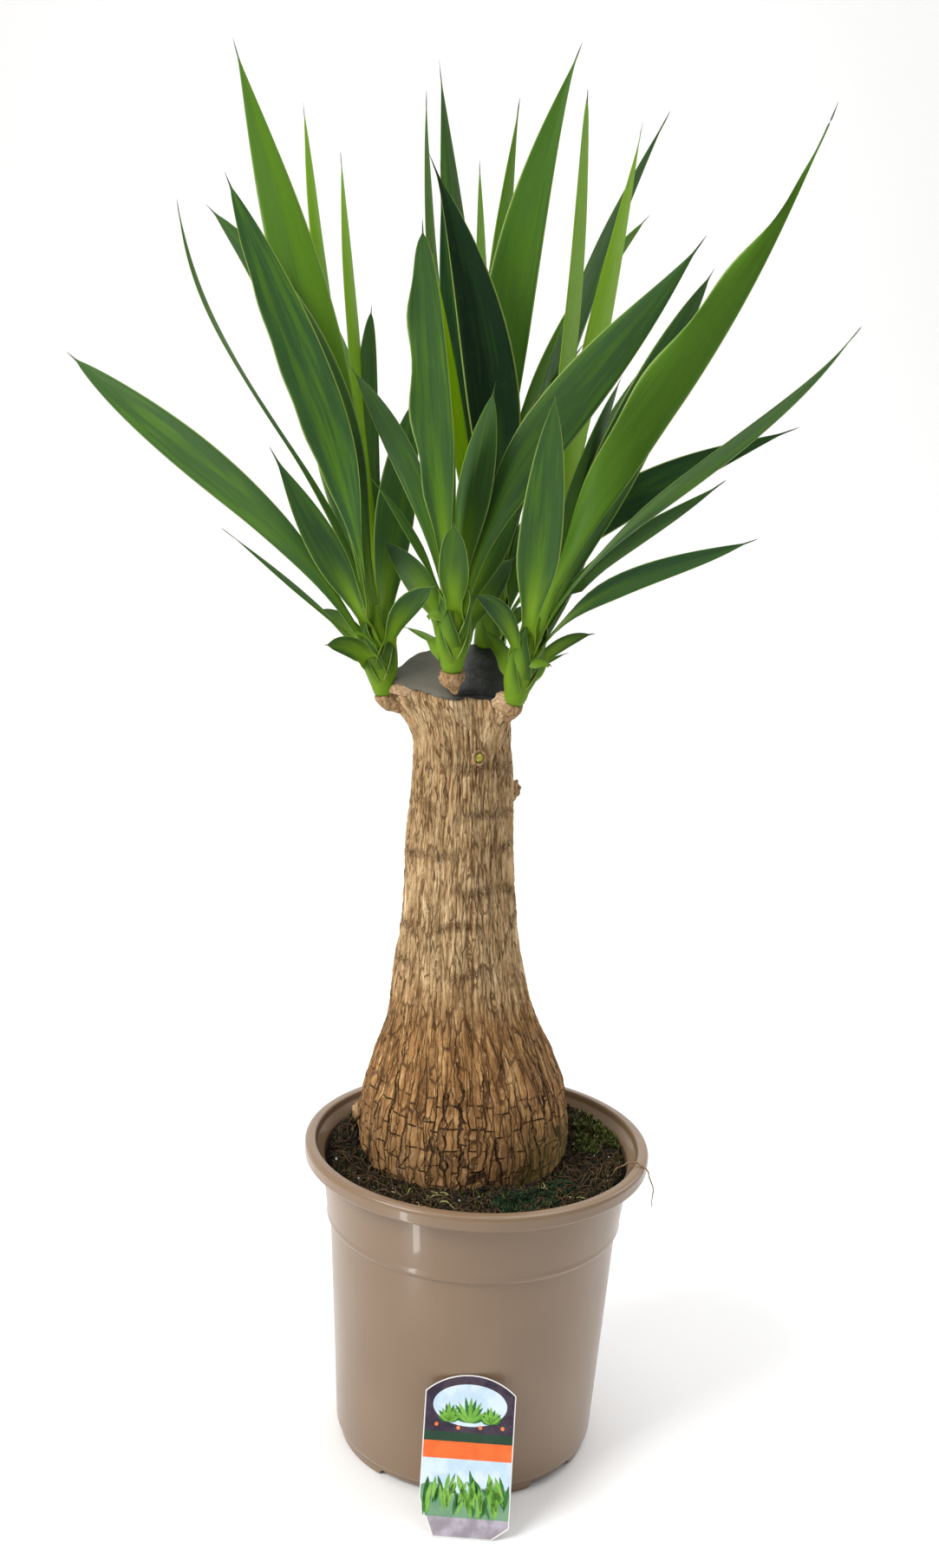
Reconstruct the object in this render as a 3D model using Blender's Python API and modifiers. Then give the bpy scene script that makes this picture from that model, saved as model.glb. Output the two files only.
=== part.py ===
"""Potted yucca: a swollen woody trunk with four leafy shoots, standing in a filled nursery pot.

Metres, +Z up. The origin is where the pot's axis meets the surface that the pot stands on,
and -Y is the side with the plant label.
"""
import math
from collections import namedtuple

import bmesh
import bpy
import numpy as np
from mathutils import Matrix, Vector, noise

# Pot: a 24 cm nursery container with a rolled rim, a collar and a foot ring
RIM_RADIUS = 0.120
RIM_OPENING = 0.1124
POT_HEIGHT = 0.2233
LIP_HEIGHT = 0.0108
WALL = 0.0018
COLLAR_TOP_RADIUS = 0.1079
STEP_RADIUS = 0.1026
STEP_Z = 0.1680
BODY_TOP_RADIUS = 0.1006
BODY_FOOT_RADIUS = 0.0916
FOOT_RADIUS = 0.0888
FOOT_HEIGHT = 0.0065
FOOT_WIDTH = 0.0060
CHANNEL_Z = 0.0050
CHANNEL_INNER = 0.0620
POT_SIDES = 40
DRAIN_HOLES = 8
DRAIN_RADIUS = 0.0045
DRAIN_SIDES = 10
FOOT_NOTCHES = 5
FIRST_NOTCH = math.radians(-114)
NOTCH_WIDTH = 0.040
NOTCH_HEIGHT = 0.0042

# What touches keeps this gap
GAP = 0.0003

# Soil
SOIL_BELOW_RIM = 0.020
SOIL_SIDES = 48
SOIL_LUMP = 0.0030

# Trunk: rows of height, radius and how far the axis has leant to the left
TRUNK_Y = 0.020
TRUNK_ROWS = (
    (0.1350, 0.0560, -0.0100),
    (0.1500, 0.0600, -0.0100),
    (0.1850, 0.0680, -0.0103),
    (0.2030, 0.0725, -0.0105),
    (0.2250, 0.0748, -0.0107),
    (0.2450, 0.0728, -0.0110),
    (0.2610, 0.0688, -0.0113),
    (0.2870, 0.0596, -0.0135),
    (0.3127, 0.0505, -0.0165),
    (0.3400, 0.0452, -0.0185),
    (0.3760, 0.0404, -0.0202),
    (0.4255, 0.0367, -0.0220),
    (0.4740, 0.0343, -0.0230),
    (0.4980, 0.0330, -0.0237),
    (0.5220, 0.0342, -0.0260),
    (0.5460, 0.0372, -0.0290),
)
TRUNK_SIDES = 40
TRUNK_RINGS = 28
BARK_DEPTH = 0.0016
CUT_SLOPE = 0.25
CUT_CENTRE_Z = 0.5490
# the worn edge of the cut: how far in from the bark and how far below the cut
CUT_EDGE = ((-0.0020, -0.0010), (-0.0045, 0.0))

# Wax over the cut
WAX_DRIP = 0.0050
WAX_THICK = 0.0020
WAX_SIDES = 32

# Woody stubs: where each shoot stands, which way it points, and where its stub leaves the trunk
Shoot = namedtuple("Shoot", "foot lean root stub_radius")
SHOOTS = {
    "left": Shoot((-0.0765, 0.0000, 0.5340), (-0.12, -0.05, 1.0), (-0.046, 0.012, 0.520), 0.0088),
    "front": Shoot((-0.0310, -0.0210, 0.5550), (0.00, -0.12, 1.0), (-0.030, -0.004, 0.530), 0.0082),
    "right": Shoot((0.0095, -0.0130, 0.5350), (0.20, -0.10, 1.0), (-0.008, 0.000, 0.516), 0.0090),
    "back": Shoot((-0.0120, 0.0640, 0.5430), (0.06, 0.15, 1.0), (-0.022, 0.040, 0.523), 0.0088),
}
STUB_SIDES = 14
CORE_RADIUS = 0.0088
CORE_LENGTH = 0.060
CORE_SIDES = 12
LOWEST_ROOT = 0.009
HIGHEST_ROOT = 0.050

# Leaves: tip in metres and width; arch, hook and sway as shares of the length: how far the
# middle bulges inwards, how far the last third turns back up, and how far the middle swings to
# the right; the heading in degrees from the front that the blade's flat side faces at mid
# length (None: as it grows); and the blade's form
Leaf = namedtuple("Leaf", "tip width arch hook sway facing form")
LEAVES = {
    "left": (
        Leaf((-0.201, 0.090, 0.952), 0.036, 0.055, 0.05, 0.00, 25, "long"),
        Leaf((-0.165, 0.170, 0.925), 0.021, 0.00, 0.00, -0.01, 62, "lance"),
        Leaf((-0.135, 0.150, 0.890), 0.024, 0.00, 0.00, 0.00, 70, "lance"),
        Leaf((-0.182, -0.030, 0.855), 0.031, 0.06, 0.05, -0.005, 5, "lance"),
        Leaf((-0.208, 0.040, 0.842), 0.029, 0.06, -0.04, 0.035, 20, "lance"),
        Leaf((-0.235, 0.080, 0.848), 0.018, 0.11, 0.28, -0.01, 78, "ribbon"),
        Leaf((-0.305, 0.060, 0.745), 0.027, 0.09, 0.10, 0.00, 0, "strap"),
        Leaf((-0.145, -0.070, 0.695), 0.021, 0.00, 0.00, 0.00, 10, "long"),
        Leaf((-0.187, 0.000, 0.638), 0.012, 0.015, 0.00, 0.00, 85, "ribbon"),
        Leaf((-0.130, 0.050, 0.582), 0.013, 0.12, 0.00, 0.00, 25, "lance"),
        Leaf((-0.111, -0.050, 0.572), 0.014, 0.12, 0.00, 0.00, 40, "blunt"),
        Leaf((-0.040, -0.060, 0.615), 0.017, 0.12, 0.00, 0.00, 20, "strap"),
        Leaf((-0.106, 0.120, 0.788), 0.020, 0.02, 0.00, -0.02, 30, "blunt"),
        Leaf((-0.070, 0.080, 0.730), 0.030, 0.02, 0.00, 0.00, 30, "lance"),
        Leaf((-0.150, 0.220, 0.790), 0.034, 0.08, 0.00, 0.00, None, "long"),
        Leaf((-0.165, 0.160, 0.785), 0.030, 0.06, 0.00, 0.00, None, "long"),
        Leaf((-0.125, 0.210, 0.690), 0.028, 0.10, 0.00, 0.00, None, "long"),
        Leaf((-0.105, 0.130, 0.610), 0.018, 0.12, 0.00, 0.00, None, "long"),
        Leaf((-0.102, -0.020, 0.578), 0.007, 0.05, 0.00, 0.00, None, "lance"),
    ),
    "front": (
        Leaf((-0.055, -0.100, 0.827), 0.025, 0.02, 0.00, -0.025, 0, "blunt"),
        Leaf((-0.030, -0.100, 0.658), 0.019, 0.04, 0.00, 0.00, 0, "blunt"),
        Leaf((-0.048, -0.030, 0.592), 0.009, 0.04, 0.00, 0.00, None, "lance"),
        Leaf((-0.110, 0.030, 0.745), 0.017, 0.07, 0.02, 0.02, 15, "strap"),
        Leaf((-0.085, 0.020, 0.635), 0.019, 0.08, 0.00, 0.00, 20, "lance"),
        Leaf((-0.085, -0.065, 0.680), 0.009, 0.05, 0.00, 0.00, 65, "ribbon"),
        Leaf((0.115, 0.020, 0.835), 0.034, 0.12, 0.14, 0.00, -10, "long"),
        Leaf((0.010, 0.030, 0.680), 0.026, 0.05, 0.00, 0.00, -10, "lance"),
        Leaf((0.006, 0.040, 0.626), 0.022, 0.09, 0.00, 0.00, -10, "lance"),
        Leaf((-0.066, 0.008, 0.578), 0.010, 0.08, 0.00, 0.00, None, "lance"),
        Leaf((-0.045, -0.045, 0.765), 0.026, 0.03, 0.00, 0.00, None, "lance"),
        Leaf((-0.012, -0.010, 0.740), 0.026, 0.03, 0.00, 0.00, None, "lance"),
    ),
    "right": (
        Leaf((0.035, 0.130, 0.935), 0.022, 0.00, 0.00, 0.02, 60, "blunt"),
        Leaf((0.075, 0.160, 0.920), 0.025, 0.00, 0.00, 0.005, 48, "long"),
        Leaf((0.127, 0.090, 0.820), 0.028, 0.04, 0.00, 0.00, 30, "lance"),
        Leaf((0.185, -0.010, 0.912), 0.033, 0.07, 0.15, 0.00, 25, "spear"),
        Leaf((0.205, -0.050, 0.781), 0.020, 0.10, 0.18, 0.00, 60, "ribbon"),
        Leaf((0.143, 0.060, 0.682), 0.014, 0.18, 0.20, 0.00, 50, "ribbon"),
        Leaf((0.058, 0.070, 0.637), 0.016, 0.05, 0.00, 0.00, 30, "lance"),
        Leaf((0.026, -0.120, 0.736), 0.027, 0.03, 0.00, -0.005, 0, "low"),
        Leaf((0.157, -0.030, 0.651), 0.016, 0.17, 0.17, 0.00, 35, "lance"),
        Leaf((0.061, 0.020, 0.579), 0.010, 0.12, 0.00, 0.00, 45, "lance"),
        Leaf((0.032, -0.026, 0.564), 0.006, -0.15, 0.00, 0.00, None, "ribbon"),
        Leaf((-0.020, -0.070, 0.612), 0.013, 0.14, 0.00, 0.00, 15, "strap"),
        Leaf((-0.014, 0.010, 0.580), 0.010, 0.05, 0.00, 0.00, 20, "lance"),
        Leaf((0.069, 0.060, 0.747), 0.020, 0.09, 0.00, 0.00, 60, "lance"),
        Leaf((0.100, 0.170, 0.775), 0.030, 0.06, 0.00, 0.00, None, "long"),
        Leaf((0.128, 0.080, 0.795), 0.028, 0.04, 0.00, 0.00, None, "long"),
        Leaf((0.048, 0.075, 0.706), 0.020, 0.00, 0.00, 0.00, 30, "lance"),
        Leaf((0.044, 0.010, 0.567), 0.005, 0.06, 0.00, 0.00, None, "ribbon"),
    ),
    "back": (
        Leaf((-0.077, 0.160, 0.935), 0.018, 0.00, 0.00, -0.03, 66, "ribbon"),
        Leaf((-0.066, 0.120, 0.948), 0.028, 0.00, 0.00, 0.00, 40, "long"),
        Leaf((-0.065, 0.050, 0.880), 0.036, 0.00, 0.00, 0.070, 0, "long"),
        Leaf((-0.040, 0.200, 0.895), 0.021, 0.00, 0.00, 0.00, 60, "lance"),
        Leaf((-0.012, 0.170, 0.934), 0.026, 0.00, 0.00, -0.02, 50, "long"),
        Leaf((0.030, 0.100, 0.960), 0.034, 0.00, 0.00, -0.060, 0, "long"),
        Leaf((0.096, 0.210, 0.935), 0.024, 0.00, 0.00, -0.04, 50, "long"),
        Leaf((0.088, 0.240, 0.866), 0.024, 0.04, 0.00, -0.055, 50, "lance"),
        Leaf((-0.032, 0.060, 0.687), 0.026, 0.00, 0.00, 0.05, 0, "lance"),
        Leaf((0.195, 0.105, 0.718), 0.027, 0.15, 0.11, 0.00, 10, "long"),
        Leaf((-0.015, 0.270, 0.840), 0.030, 0.08, 0.00, -0.03, None, "long"),
        Leaf((-0.040, 0.320, 0.765), 0.034, 0.10, 0.00, 0.00, None, "long"),
        Leaf((0.044, 0.150, 0.769), 0.024, 0.04, 0.00, -0.05, 20, "long"),
        Leaf((-0.022, 0.200, 0.693), 0.028, 0.12, 0.00, 0.00, None, "long"),
        Leaf((0.050, 0.250, 0.660), 0.030, 0.14, 0.00, 0.00, None, "long"),
        Leaf((0.000, 0.200, 0.600), 0.022, 0.14, 0.00, 0.00, None, "long"),
        Leaf((0.030, 0.150, 0.580), 0.016, 0.14, 0.00, 0.00, None, "long"),
    ),
}
LEAF_STATIONS = 10
LEAF_KEEL = 0.0016
FOLD_ROOT = 0.85
FOLD_TIP = 0.22
ROOT_WIDTH = 0.34

# Blade forms: where along its length a blade is widest, and how pointed its tip is
FORMS = {
    "spear": (0.46, 2.20), "long": (0.50, 1.25), "lance": (0.52, 0.85), "blunt": (0.50, 0.55),
    "strap": (0.62, 0.80), "low": (0.40, 0.80), "ribbon": (0.56, 1.00),
}

# Plant label, leaning on the pot's front: its shoulders, the rise of its arched top, and its
# two cut corners at the foot
LABEL_WIDTH = 0.060
LABEL_LENGTH = 0.104
LABEL_ARCH = 0.0115
LABEL_ARCH_STEPS = 12
LABEL_CUT_LEFT = (0.010, 0.024)
LABEL_CUT_RIGHT = (0.011, 0.008)
LABEL_THICK = 0.0008
LABEL_X = 0.0075
LABEL_LEAN = math.radians(70.5)


def clear_scene():
    for old in list(bpy.data.objects):
        bpy.data.objects.remove(old, do_unlink=True)


def new_collection(name):
    collection = bpy.data.collections.new(name)
    bpy.context.scene.collection.children.link(collection)
    return collection


def material(name, colour, roughness):
    made = bpy.data.materials.new(name)
    made.use_nodes = True
    shader = made.node_tree.nodes["Principled BSDF"]
    shader.inputs["Base Color"].default_value = (*colour, 1.0)
    shader.inputs["Roughness"].default_value = roughness
    return made


def add_object(name, mesh, collection, finish=None):
    made = bpy.data.objects.new(name, mesh)
    collection.objects.link(made)
    if finish is not None:
        mesh.materials.append(finish)
    return made


def mesh_of(name, points, faces):
    mesh = bpy.data.meshes.new(name)
    mesh.from_pydata([tuple(p) for p in points], [], faces)
    mesh.update()
    return mesh


def apply_modifiers(made):
    """swap the object's mesh for its evaluated one"""
    graph = bpy.context.evaluated_depsgraph_get()
    mesh = bpy.data.meshes.new_from_object(made.evaluated_get(graph))
    made.modifiers.clear()
    made.data = mesh


def ring_loft(rings, closed=False):
    """points and faces through rings of equal length, capped at both ends or closed on itself"""
    sides = len(rings[0])
    points = [p for ring in rings for p in ring]
    spans = len(rings) if closed else len(rings) - 1
    faces = []
    for i in range(spans):
        low = i * sides
        high = ((i + 1) % len(rings)) * sides
        for j in range(sides):
            k = (j + 1) % sides
            faces.append((low + j, low + k, high + k, high + j))
    if not closed:
        faces.append(tuple(reversed(range(sides))))
        top = (len(rings) - 1) * sides
        faces.append(tuple(range(top, top + sides)))
    return points, faces


def smooth_step(low, high, value):
    t = min(max((value - low) / (high - low), 0.0), 1.0)
    return t * t * (3.0 - 2.0 * t)


def smooth_rows(rows, z, column):
    """a smooth curve through hand-set rows, by cubic Hermite spans"""
    heights = [row[0] for row in rows]
    z = min(max(z, heights[0]), heights[-1])
    i = min(max(int(np.searchsorted(heights, z)) - 1, 0), len(rows) - 2)
    last = len(rows) - 1

    def slope(k):
        a, b = rows[max(k - 1, 0)], rows[min(k + 1, last)]
        return (b[column] - a[column]) / (b[0] - a[0])

    span = heights[i + 1] - heights[i]
    t = (z - heights[i]) / span
    start, end = rows[i][column], rows[i + 1][column]
    return ((2 * t**3 - 3 * t**2 + 1) * start + (t**3 - 2 * t**2 + t) * span * slope(i)
            + (3 * t**2 - 2 * t**3) * end + (t**3 - t**2) * span * slope(i + 1))


def pot_profile():
    """radius and height from the floor's middle, up the inside, over the rim and down outside"""
    inner_foot = BODY_FOOT_RADIUS - WALL
    foot_in = FOOT_RADIUS - FOOT_WIDTH
    lip_low = POT_HEIGHT - LIP_HEIGHT
    roll = 0.0022
    return [
        (0.0, WALL), (CHANNEL_INNER - 0.003, WALL), (CHANNEL_INNER + 0.002, CHANNEL_Z + WALL),
        (inner_foot - 0.004, CHANNEL_Z + WALL), (inner_foot, CHANNEL_Z + WALL + 0.004),
        (BODY_TOP_RADIUS - WALL, STEP_Z - 0.002), (STEP_RADIUS - WALL, STEP_Z + 0.004),
        (COLLAR_TOP_RADIUS - WALL, lip_low), (RIM_OPENING - 0.0012, POT_HEIGHT - 0.0045),
        (RIM_OPENING, POT_HEIGHT - 0.0008), (RIM_OPENING + 0.0008, POT_HEIGHT),
        (RIM_RADIUS - 0.0030, POT_HEIGHT - 0.0002), (RIM_RADIUS - 0.0009, POT_HEIGHT - 0.0010),
        (RIM_RADIUS, POT_HEIGHT - roll - 0.0008), (RIM_RADIUS - 0.0002, lip_low + 0.0012),
        (RIM_RADIUS - 0.0012, lip_low), (RIM_RADIUS - 0.0030, lip_low + 0.0003),
        (COLLAR_TOP_RADIUS + 0.0016, lip_low + 0.0006), (COLLAR_TOP_RADIUS, lip_low - 0.0018),
        (STEP_RADIUS + 0.0006, STEP_Z + 0.0042), (STEP_RADIUS + 0.0008, STEP_Z + 0.0008),
        (STEP_RADIUS, STEP_Z - 0.0010), (BODY_TOP_RADIUS, STEP_Z - 0.0024),
        (BODY_FOOT_RADIUS, FOOT_HEIGHT + 0.0036), (BODY_FOOT_RADIUS - 0.0014, FOOT_HEIGHT + 0.0008),
        (FOOT_RADIUS - 0.0006, FOOT_HEIGHT), (FOOT_RADIUS, FOOT_HEIGHT - 0.0010),
        (FOOT_RADIUS - 0.0006, 0.0), (foot_in, 0.0), (foot_in - 0.0008, CHANNEL_Z),
        (CHANNEL_INNER + 0.002, CHANNEL_Z), (CHANNEL_INNER - 0.001, 0.0), (0.0, 0.0),
    ]


def foot_cutters(cutters):
    """upright pins for the drain holes and boxes for the notches in the foot ring, in one mesh"""
    tool = bmesh.new()
    hole_circle = (CHANNEL_INNER + FOOT_RADIUS - FOOT_WIDTH) / 2
    for i in range(DRAIN_HOLES):
        turn = 2 * math.pi * (i + 0.5) / DRAIN_HOLES
        pin = bmesh.ops.create_cone(tool, cap_ends=True, segments=DRAIN_SIDES,
                                    radius1=DRAIN_RADIUS, radius2=DRAIN_RADIUS,
                                    depth=0.02)["verts"]
        place = Vector((hole_circle * math.cos(turn), hole_circle * math.sin(turn), CHANNEL_Z))
        bmesh.ops.translate(tool, verts=pin, vec=place)
    for i in range(FOOT_NOTCHES):
        turn = FIRST_NOTCH + 2 * math.pi * i / FOOT_NOTCHES
        box = bmesh.ops.create_cube(tool, size=1.0)["verts"]
        bmesh.ops.scale(tool, verts=box, vec=(2.5 * FOOT_WIDTH, NOTCH_WIDTH, 2 * NOTCH_HEIGHT))
        centre = Vector((FOOT_RADIUS - FOOT_WIDTH / 2, 0.0, 0.0))
        bmesh.ops.translate(tool, verts=box, vec=centre)
        bmesh.ops.rotate(tool, verts=box, cent=(0, 0, 0), matrix=Matrix.Rotation(turn, 3, "Z"))
    mesh = bpy.data.meshes.new("foot_cutter")
    tool.to_mesh(mesh)
    tool.free()
    cutter = add_object("foot_cutter", mesh, cutters)
    cutter.hide_render = True
    cutter.display_type = "WIRE"
    return cutter


def make_pot(parts, cutters):
    outline = pot_profile()
    points = [(r, 0.0, z) for r, z in outline]
    mesh = bpy.data.meshes.new("pot")
    mesh.from_pydata(points, [(i, i + 1) for i in range(len(points) - 1)], [])
    finish = material("pot_plastic", (0.42, 0.32, 0.235), 0.28)
    pot = add_object("pot", mesh, parts, finish)
    turn = pot.modifiers.new("turn", "SCREW")
    turn.axis = "Z"
    turn.steps = POT_SIDES
    turn.render_steps = POT_SIDES
    turn.use_merge_vertices = True
    turn.merge_threshold = 0.00005
    drain = pot.modifiers.new("drain", "BOOLEAN")
    drain.operation = "DIFFERENCE"
    drain.object = foot_cutters(cutters)
    return pot


def bark_relief(turn, z):
    """ribs and lumps of the bark, fading out in the soil and at the cut"""
    fade = smooth_step(0.196, 0.215, z) * (1.0 - smooth_step(0.515, 0.538, z))
    across, along = math.cos(turn), math.sin(turn)
    wander = 3.0 * noise.noise(Vector((2.0 * across, 2.0 * along, z * 14)))
    ribs = 0.55 * math.sin(11 * turn + wander) + 0.30 * math.sin(17 * turn + 1.7 + 5.0 * z)
    lumps = 1.3 * noise.noise(Vector((1.6 * across, 1.6 * along, z * 22 + 5.0)))
    return BARK_DEPTH * fade * (ribs + lumps)


def trunk_point(turn, z, grow=0.0, lift=0.0):
    """a point of the bark at a heading and height, moved out by grow and up by lift"""
    radius = smooth_rows(TRUNK_ROWS, z, 1) + grow
    if grow == 0.0:
        radius += bark_relief(turn, z)
    x = smooth_rows(TRUNK_ROWS, z, 2) + radius * math.cos(turn)
    y = TRUNK_Y + radius * math.sin(turn)
    tilt = smooth_step(0.500, CUT_CENTRE_Z, z)
    return Vector((x, y, z + tilt * CUT_SLOPE * (y - TRUNK_Y) + lift))


def headings(sides):
    return [2 * math.pi * j / sides for j in range(sides)]


def trunk_heights():
    """ring heights, closer together where the bulb turns in"""
    low, top = TRUNK_ROWS[0][0], CUT_CENTRE_Z - 0.004
    return [low + (top - low) * (i / (TRUNK_RINGS - 1)) for i in range(TRUNK_RINGS)]


def make_trunk(parts):
    rings = [[trunk_point(turn, z) for turn in headings(TRUNK_SIDES)] for z in trunk_heights()]
    for grow, lift in CUT_EDGE:
        rings.append([trunk_point(turn, CUT_CENTRE_Z, grow, lift) for turn in headings(TRUNK_SIDES)])
    mesh = mesh_of("trunk", *ring_loft(rings))
    trunk = add_object("trunk", mesh, parts, material("bark", (0.36, 0.25, 0.14), 0.9))
    grown = new_collection("grown_on_trunk")
    for name, shoot in SHOOTS.items():
        add_stub(name, shoot.root, shoot.foot, shoot.lean, shoot.stub_radius, grown)
    add_lump("knob", trunk_point(math.radians(8), 0.468), (0.0055, 0.0055, 0.0080), grown)
    add_lump("bud_eye", trunk_point(math.radians(-68), 0.497), (0.0065, 0.0040, 0.0045), grown)
    add_lump("root_bump", trunk_point(math.radians(186), 0.232), (0.0050, 0.0060, 0.0070), grown)
    join_collection(trunk, grown, "EXACT")
    return trunk


def add_stub(name, root, foot, lean, radius, collection):
    """a short woody peg from inside the trunk to the flat face its shoot stands on"""
    top, bottom = Vector(foot), Vector(root)
    lean = Vector(lean).normalized()
    middle = bottom.lerp(top, 0.6)
    path = (bottom, middle, top - lean * 0.004, top)
    widths = (radius * 1.25, radius * 1.12, radius * 1.04, radius * 0.94)
    rings = []
    for i, (point, width) in enumerate(zip(path, widths)):
        along = lean if i > 1 else (top - bottom).normalized()
        side = along.cross(Vector((0, 1, 0))).normalized()
        up = side.cross(along)
        rings.append([point + width * (math.cos(t) * side - math.sin(t) * up)
                      for t in headings(STUB_SIDES)])
    add_object("stub_" + name, mesh_of("stub_" + name, *ring_loft(rings)), collection)


def add_lump(name, centre, size, collection):
    ball = bmesh.new()
    bmesh.ops.create_uvsphere(ball, u_segments=10, v_segments=7, radius=1.0)
    bmesh.ops.scale(ball, verts=ball.verts, vec=size)
    bmesh.ops.translate(ball, verts=ball.verts, vec=centre)
    mesh = bpy.data.meshes.new(name)
    ball.to_mesh(mesh)
    ball.free()
    add_object(name, mesh, collection)


def join_collection(base, collection, solver):
    """one Boolean union with everything in the collection, applied, and the collection emptied"""
    join = base.modifiers.new("join", "BOOLEAN")
    join.operation = "UNION"
    join.operand_type = "COLLECTION"
    join.solver = solver
    join.collection = collection
    apply_modifiers(base)
    for piece in list(collection.objects):
        bpy.data.objects.remove(piece, do_unlink=True)
    bpy.data.collections.remove(collection)
    keep_largest_shell(base.data)


def keep_largest_shell(mesh):
    """fill the hollows that a union seals, and drop its loose scraps"""
    work = bmesh.new()
    work.from_mesh(mesh)
    waiting = set(work.verts)
    shells = []
    while waiting:
        front = [waiting.pop()]
        shell = set(front)
        while front:
            vert = front.pop()
            near = {edge.other_vert(vert) for edge in vert.link_edges} - shell
            shell |= near
            front += near
        waiting -= shell
        shells.append(shell)
    for shell in sorted(shells, key=len)[:-1]:
        bmesh.ops.delete(work, geom=list(shell), context="VERTS")
    work.to_mesh(mesh)
    work.free()


def make_wax(parts, cutters):
    """a cap over the cut with a short skirt, notched where stubs stand through it"""
    edge = (
        (-WAX_DRIP, GAP), (-0.0012, GAP), (0.0, -0.0014), (GAP, -0.0040),
    )
    crown = (
        (WAX_THICK + 0.0006, -0.0080), (WAX_THICK, -0.0020), (0.0006, WAX_THICK * 0.8),
        (-0.0016, WAX_THICK * 0.95), (-WAX_DRIP, WAX_THICK * 0.7),
    )
    base = CUT_CENTRE_Z - 0.0002
    turns = headings(WAX_SIDES)
    inner = [[wax_point(turn, base, rise, grow) for turn in turns] for rise, grow in edge]
    outer = [[wax_point(turn, base, rise, grow) for turn in turns] for rise, grow in crown]
    points, faces = ring_loft(inner + outer, closed=True)
    faces = close_caps(faces, len(inner), WAX_SIDES)
    mesh = mesh_of("wax_seal", points, faces)
    wax = add_object("wax_seal", mesh, parts, material("wax", (0.055, 0.055, 0.060), 0.55))
    for name in ("front", "left", "right", "back"):
        shoot = SHOOTS[name]
        grown = shoot.stub_radius + 2 * GAP
        add_stub("gap_" + name, shoot.root, shoot.foot, shoot.lean, grown, cutters)
        cutter = cutters.objects["stub_gap_" + name]
        cutter.hide_render = True
        cutter.display_type = "WIRE"
        notch = wax.modifiers.new("notch_" + name, "BOOLEAN")
        notch.operation = "DIFFERENCE"
        notch.object = cutter
    return wax


def wax_point(turn, base, rise, grow):
    """a point of the wax, rise above the cut and grow outside its edge, dripping unevenly"""
    drip = 1.0 + 0.35 * math.sin(3 * turn + 0.8) if rise < -0.003 else 1.0
    return trunk_point(turn, base, grow=grow + 1e-6, lift=rise * drip)


def close_caps(faces, inner_count, sides):
    """drop the faces between the last inner and first outer ring, and cap both with a disc"""
    split = (inner_count - 1) * sides
    kept = [f for f in faces if f[0] // sides != inner_count - 1 or f[2] // sides != inner_count]
    kept.append(tuple(range(split, split + sides)))
    kept.append(tuple(reversed(range(split + sides, split + 2 * sides))))
    return kept


def make_soil(parts):
    """a plug of potting soil with a lumpy top and a plain hole for the trunk's foot"""
    level = POT_HEIGHT - SOIL_BELOW_RIM
    foot = TRUNK_ROWS[0][0]
    turns = headings(SOIL_SIDES)
    rings = []
    for z in (foot, foot + 0.035, level - 0.012, level - 0.002):
        rings.append([hole_point(turn, z, 2 * GAP) for turn in turns])
    for share in (0.25, 0.50, 0.75):
        rings.append([soil_top(turn, share, level) for turn in turns])
    rings.append([wall_point(turn, level + soil_lump(turn, 1.0)) for turn in turns])
    wall_steps = (STEP_Z + 0.003, STEP_Z - 0.003, 0.09, CHANNEL_Z + WALL + 0.0045)
    for z in wall_steps:
        rings.append([wall_point(turn, z) for turn in turns])
    floor = CHANNEL_Z + WALL + GAP
    rings.append([Vector((0.084 * math.cos(t), 0.084 * math.sin(t), floor)) for t in turns])
    rings.append([Vector((0.060 * math.cos(t), 0.060 * math.sin(t), floor)) for t in turns])
    points, faces = ring_loft(list(reversed(rings)))
    return add_object("soil", mesh_of("soil", points, faces), parts,
                      material("soil", (0.055, 0.035, 0.022), 0.95))


def wall_radius(z):
    """the pot's inner radius at a height"""
    inside = [(zz, r) for r, zz in pot_profile()[4:10]]
    return float(np.interp(z, [p[0] for p in inside], [p[1] for p in inside]))


def wall_point(turn, z):
    radius = wall_radius(z) - 2 * GAP
    return Vector((radius * math.cos(turn), radius * math.sin(turn), z))


def hole_point(turn, z, clear):
    radius = smooth_rows(TRUNK_ROWS, z, 1) + clear
    x = smooth_rows(TRUNK_ROWS, z, 2)
    return Vector((x + radius * math.cos(turn), TRUNK_Y + radius * math.sin(turn), z))


def soil_lump(turn, share):
    spot = Vector((3.2 * share * math.cos(turn), 3.2 * share * math.sin(turn), 1.3))
    return SOIL_LUMP * noise.noise(spot * 1.7) - 0.0015


def soil_top(turn, share, level):
    inner = hole_point(turn, level - 0.002, 2 * GAP)
    outer = wall_point(turn, level)
    point = inner.lerp(outer, share)
    heap = 0.0035 * math.sin(math.pi * share)
    point.z = level + soil_lump(turn, share) + heap
    return point


def blade_width(t, form):
    """the blade's width along its length, as a share of its widest"""
    widest, point = FORMS[form]
    spread = ROOT_WIDTH + (1.0 - ROOT_WIDTH) * smooth_step(0.06, widest, t)
    past = max(t - widest, 0.0) / (1.0 - widest)
    return spread * (1.0 - past**2)**point


def blade_fold(t):
    """how steeply each half of the blade rises from the midrib"""
    return FOLD_TIP + (FOLD_ROOT - FOLD_TIP) * (1.0 - smooth_step(0.0, 0.40, t))


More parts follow.
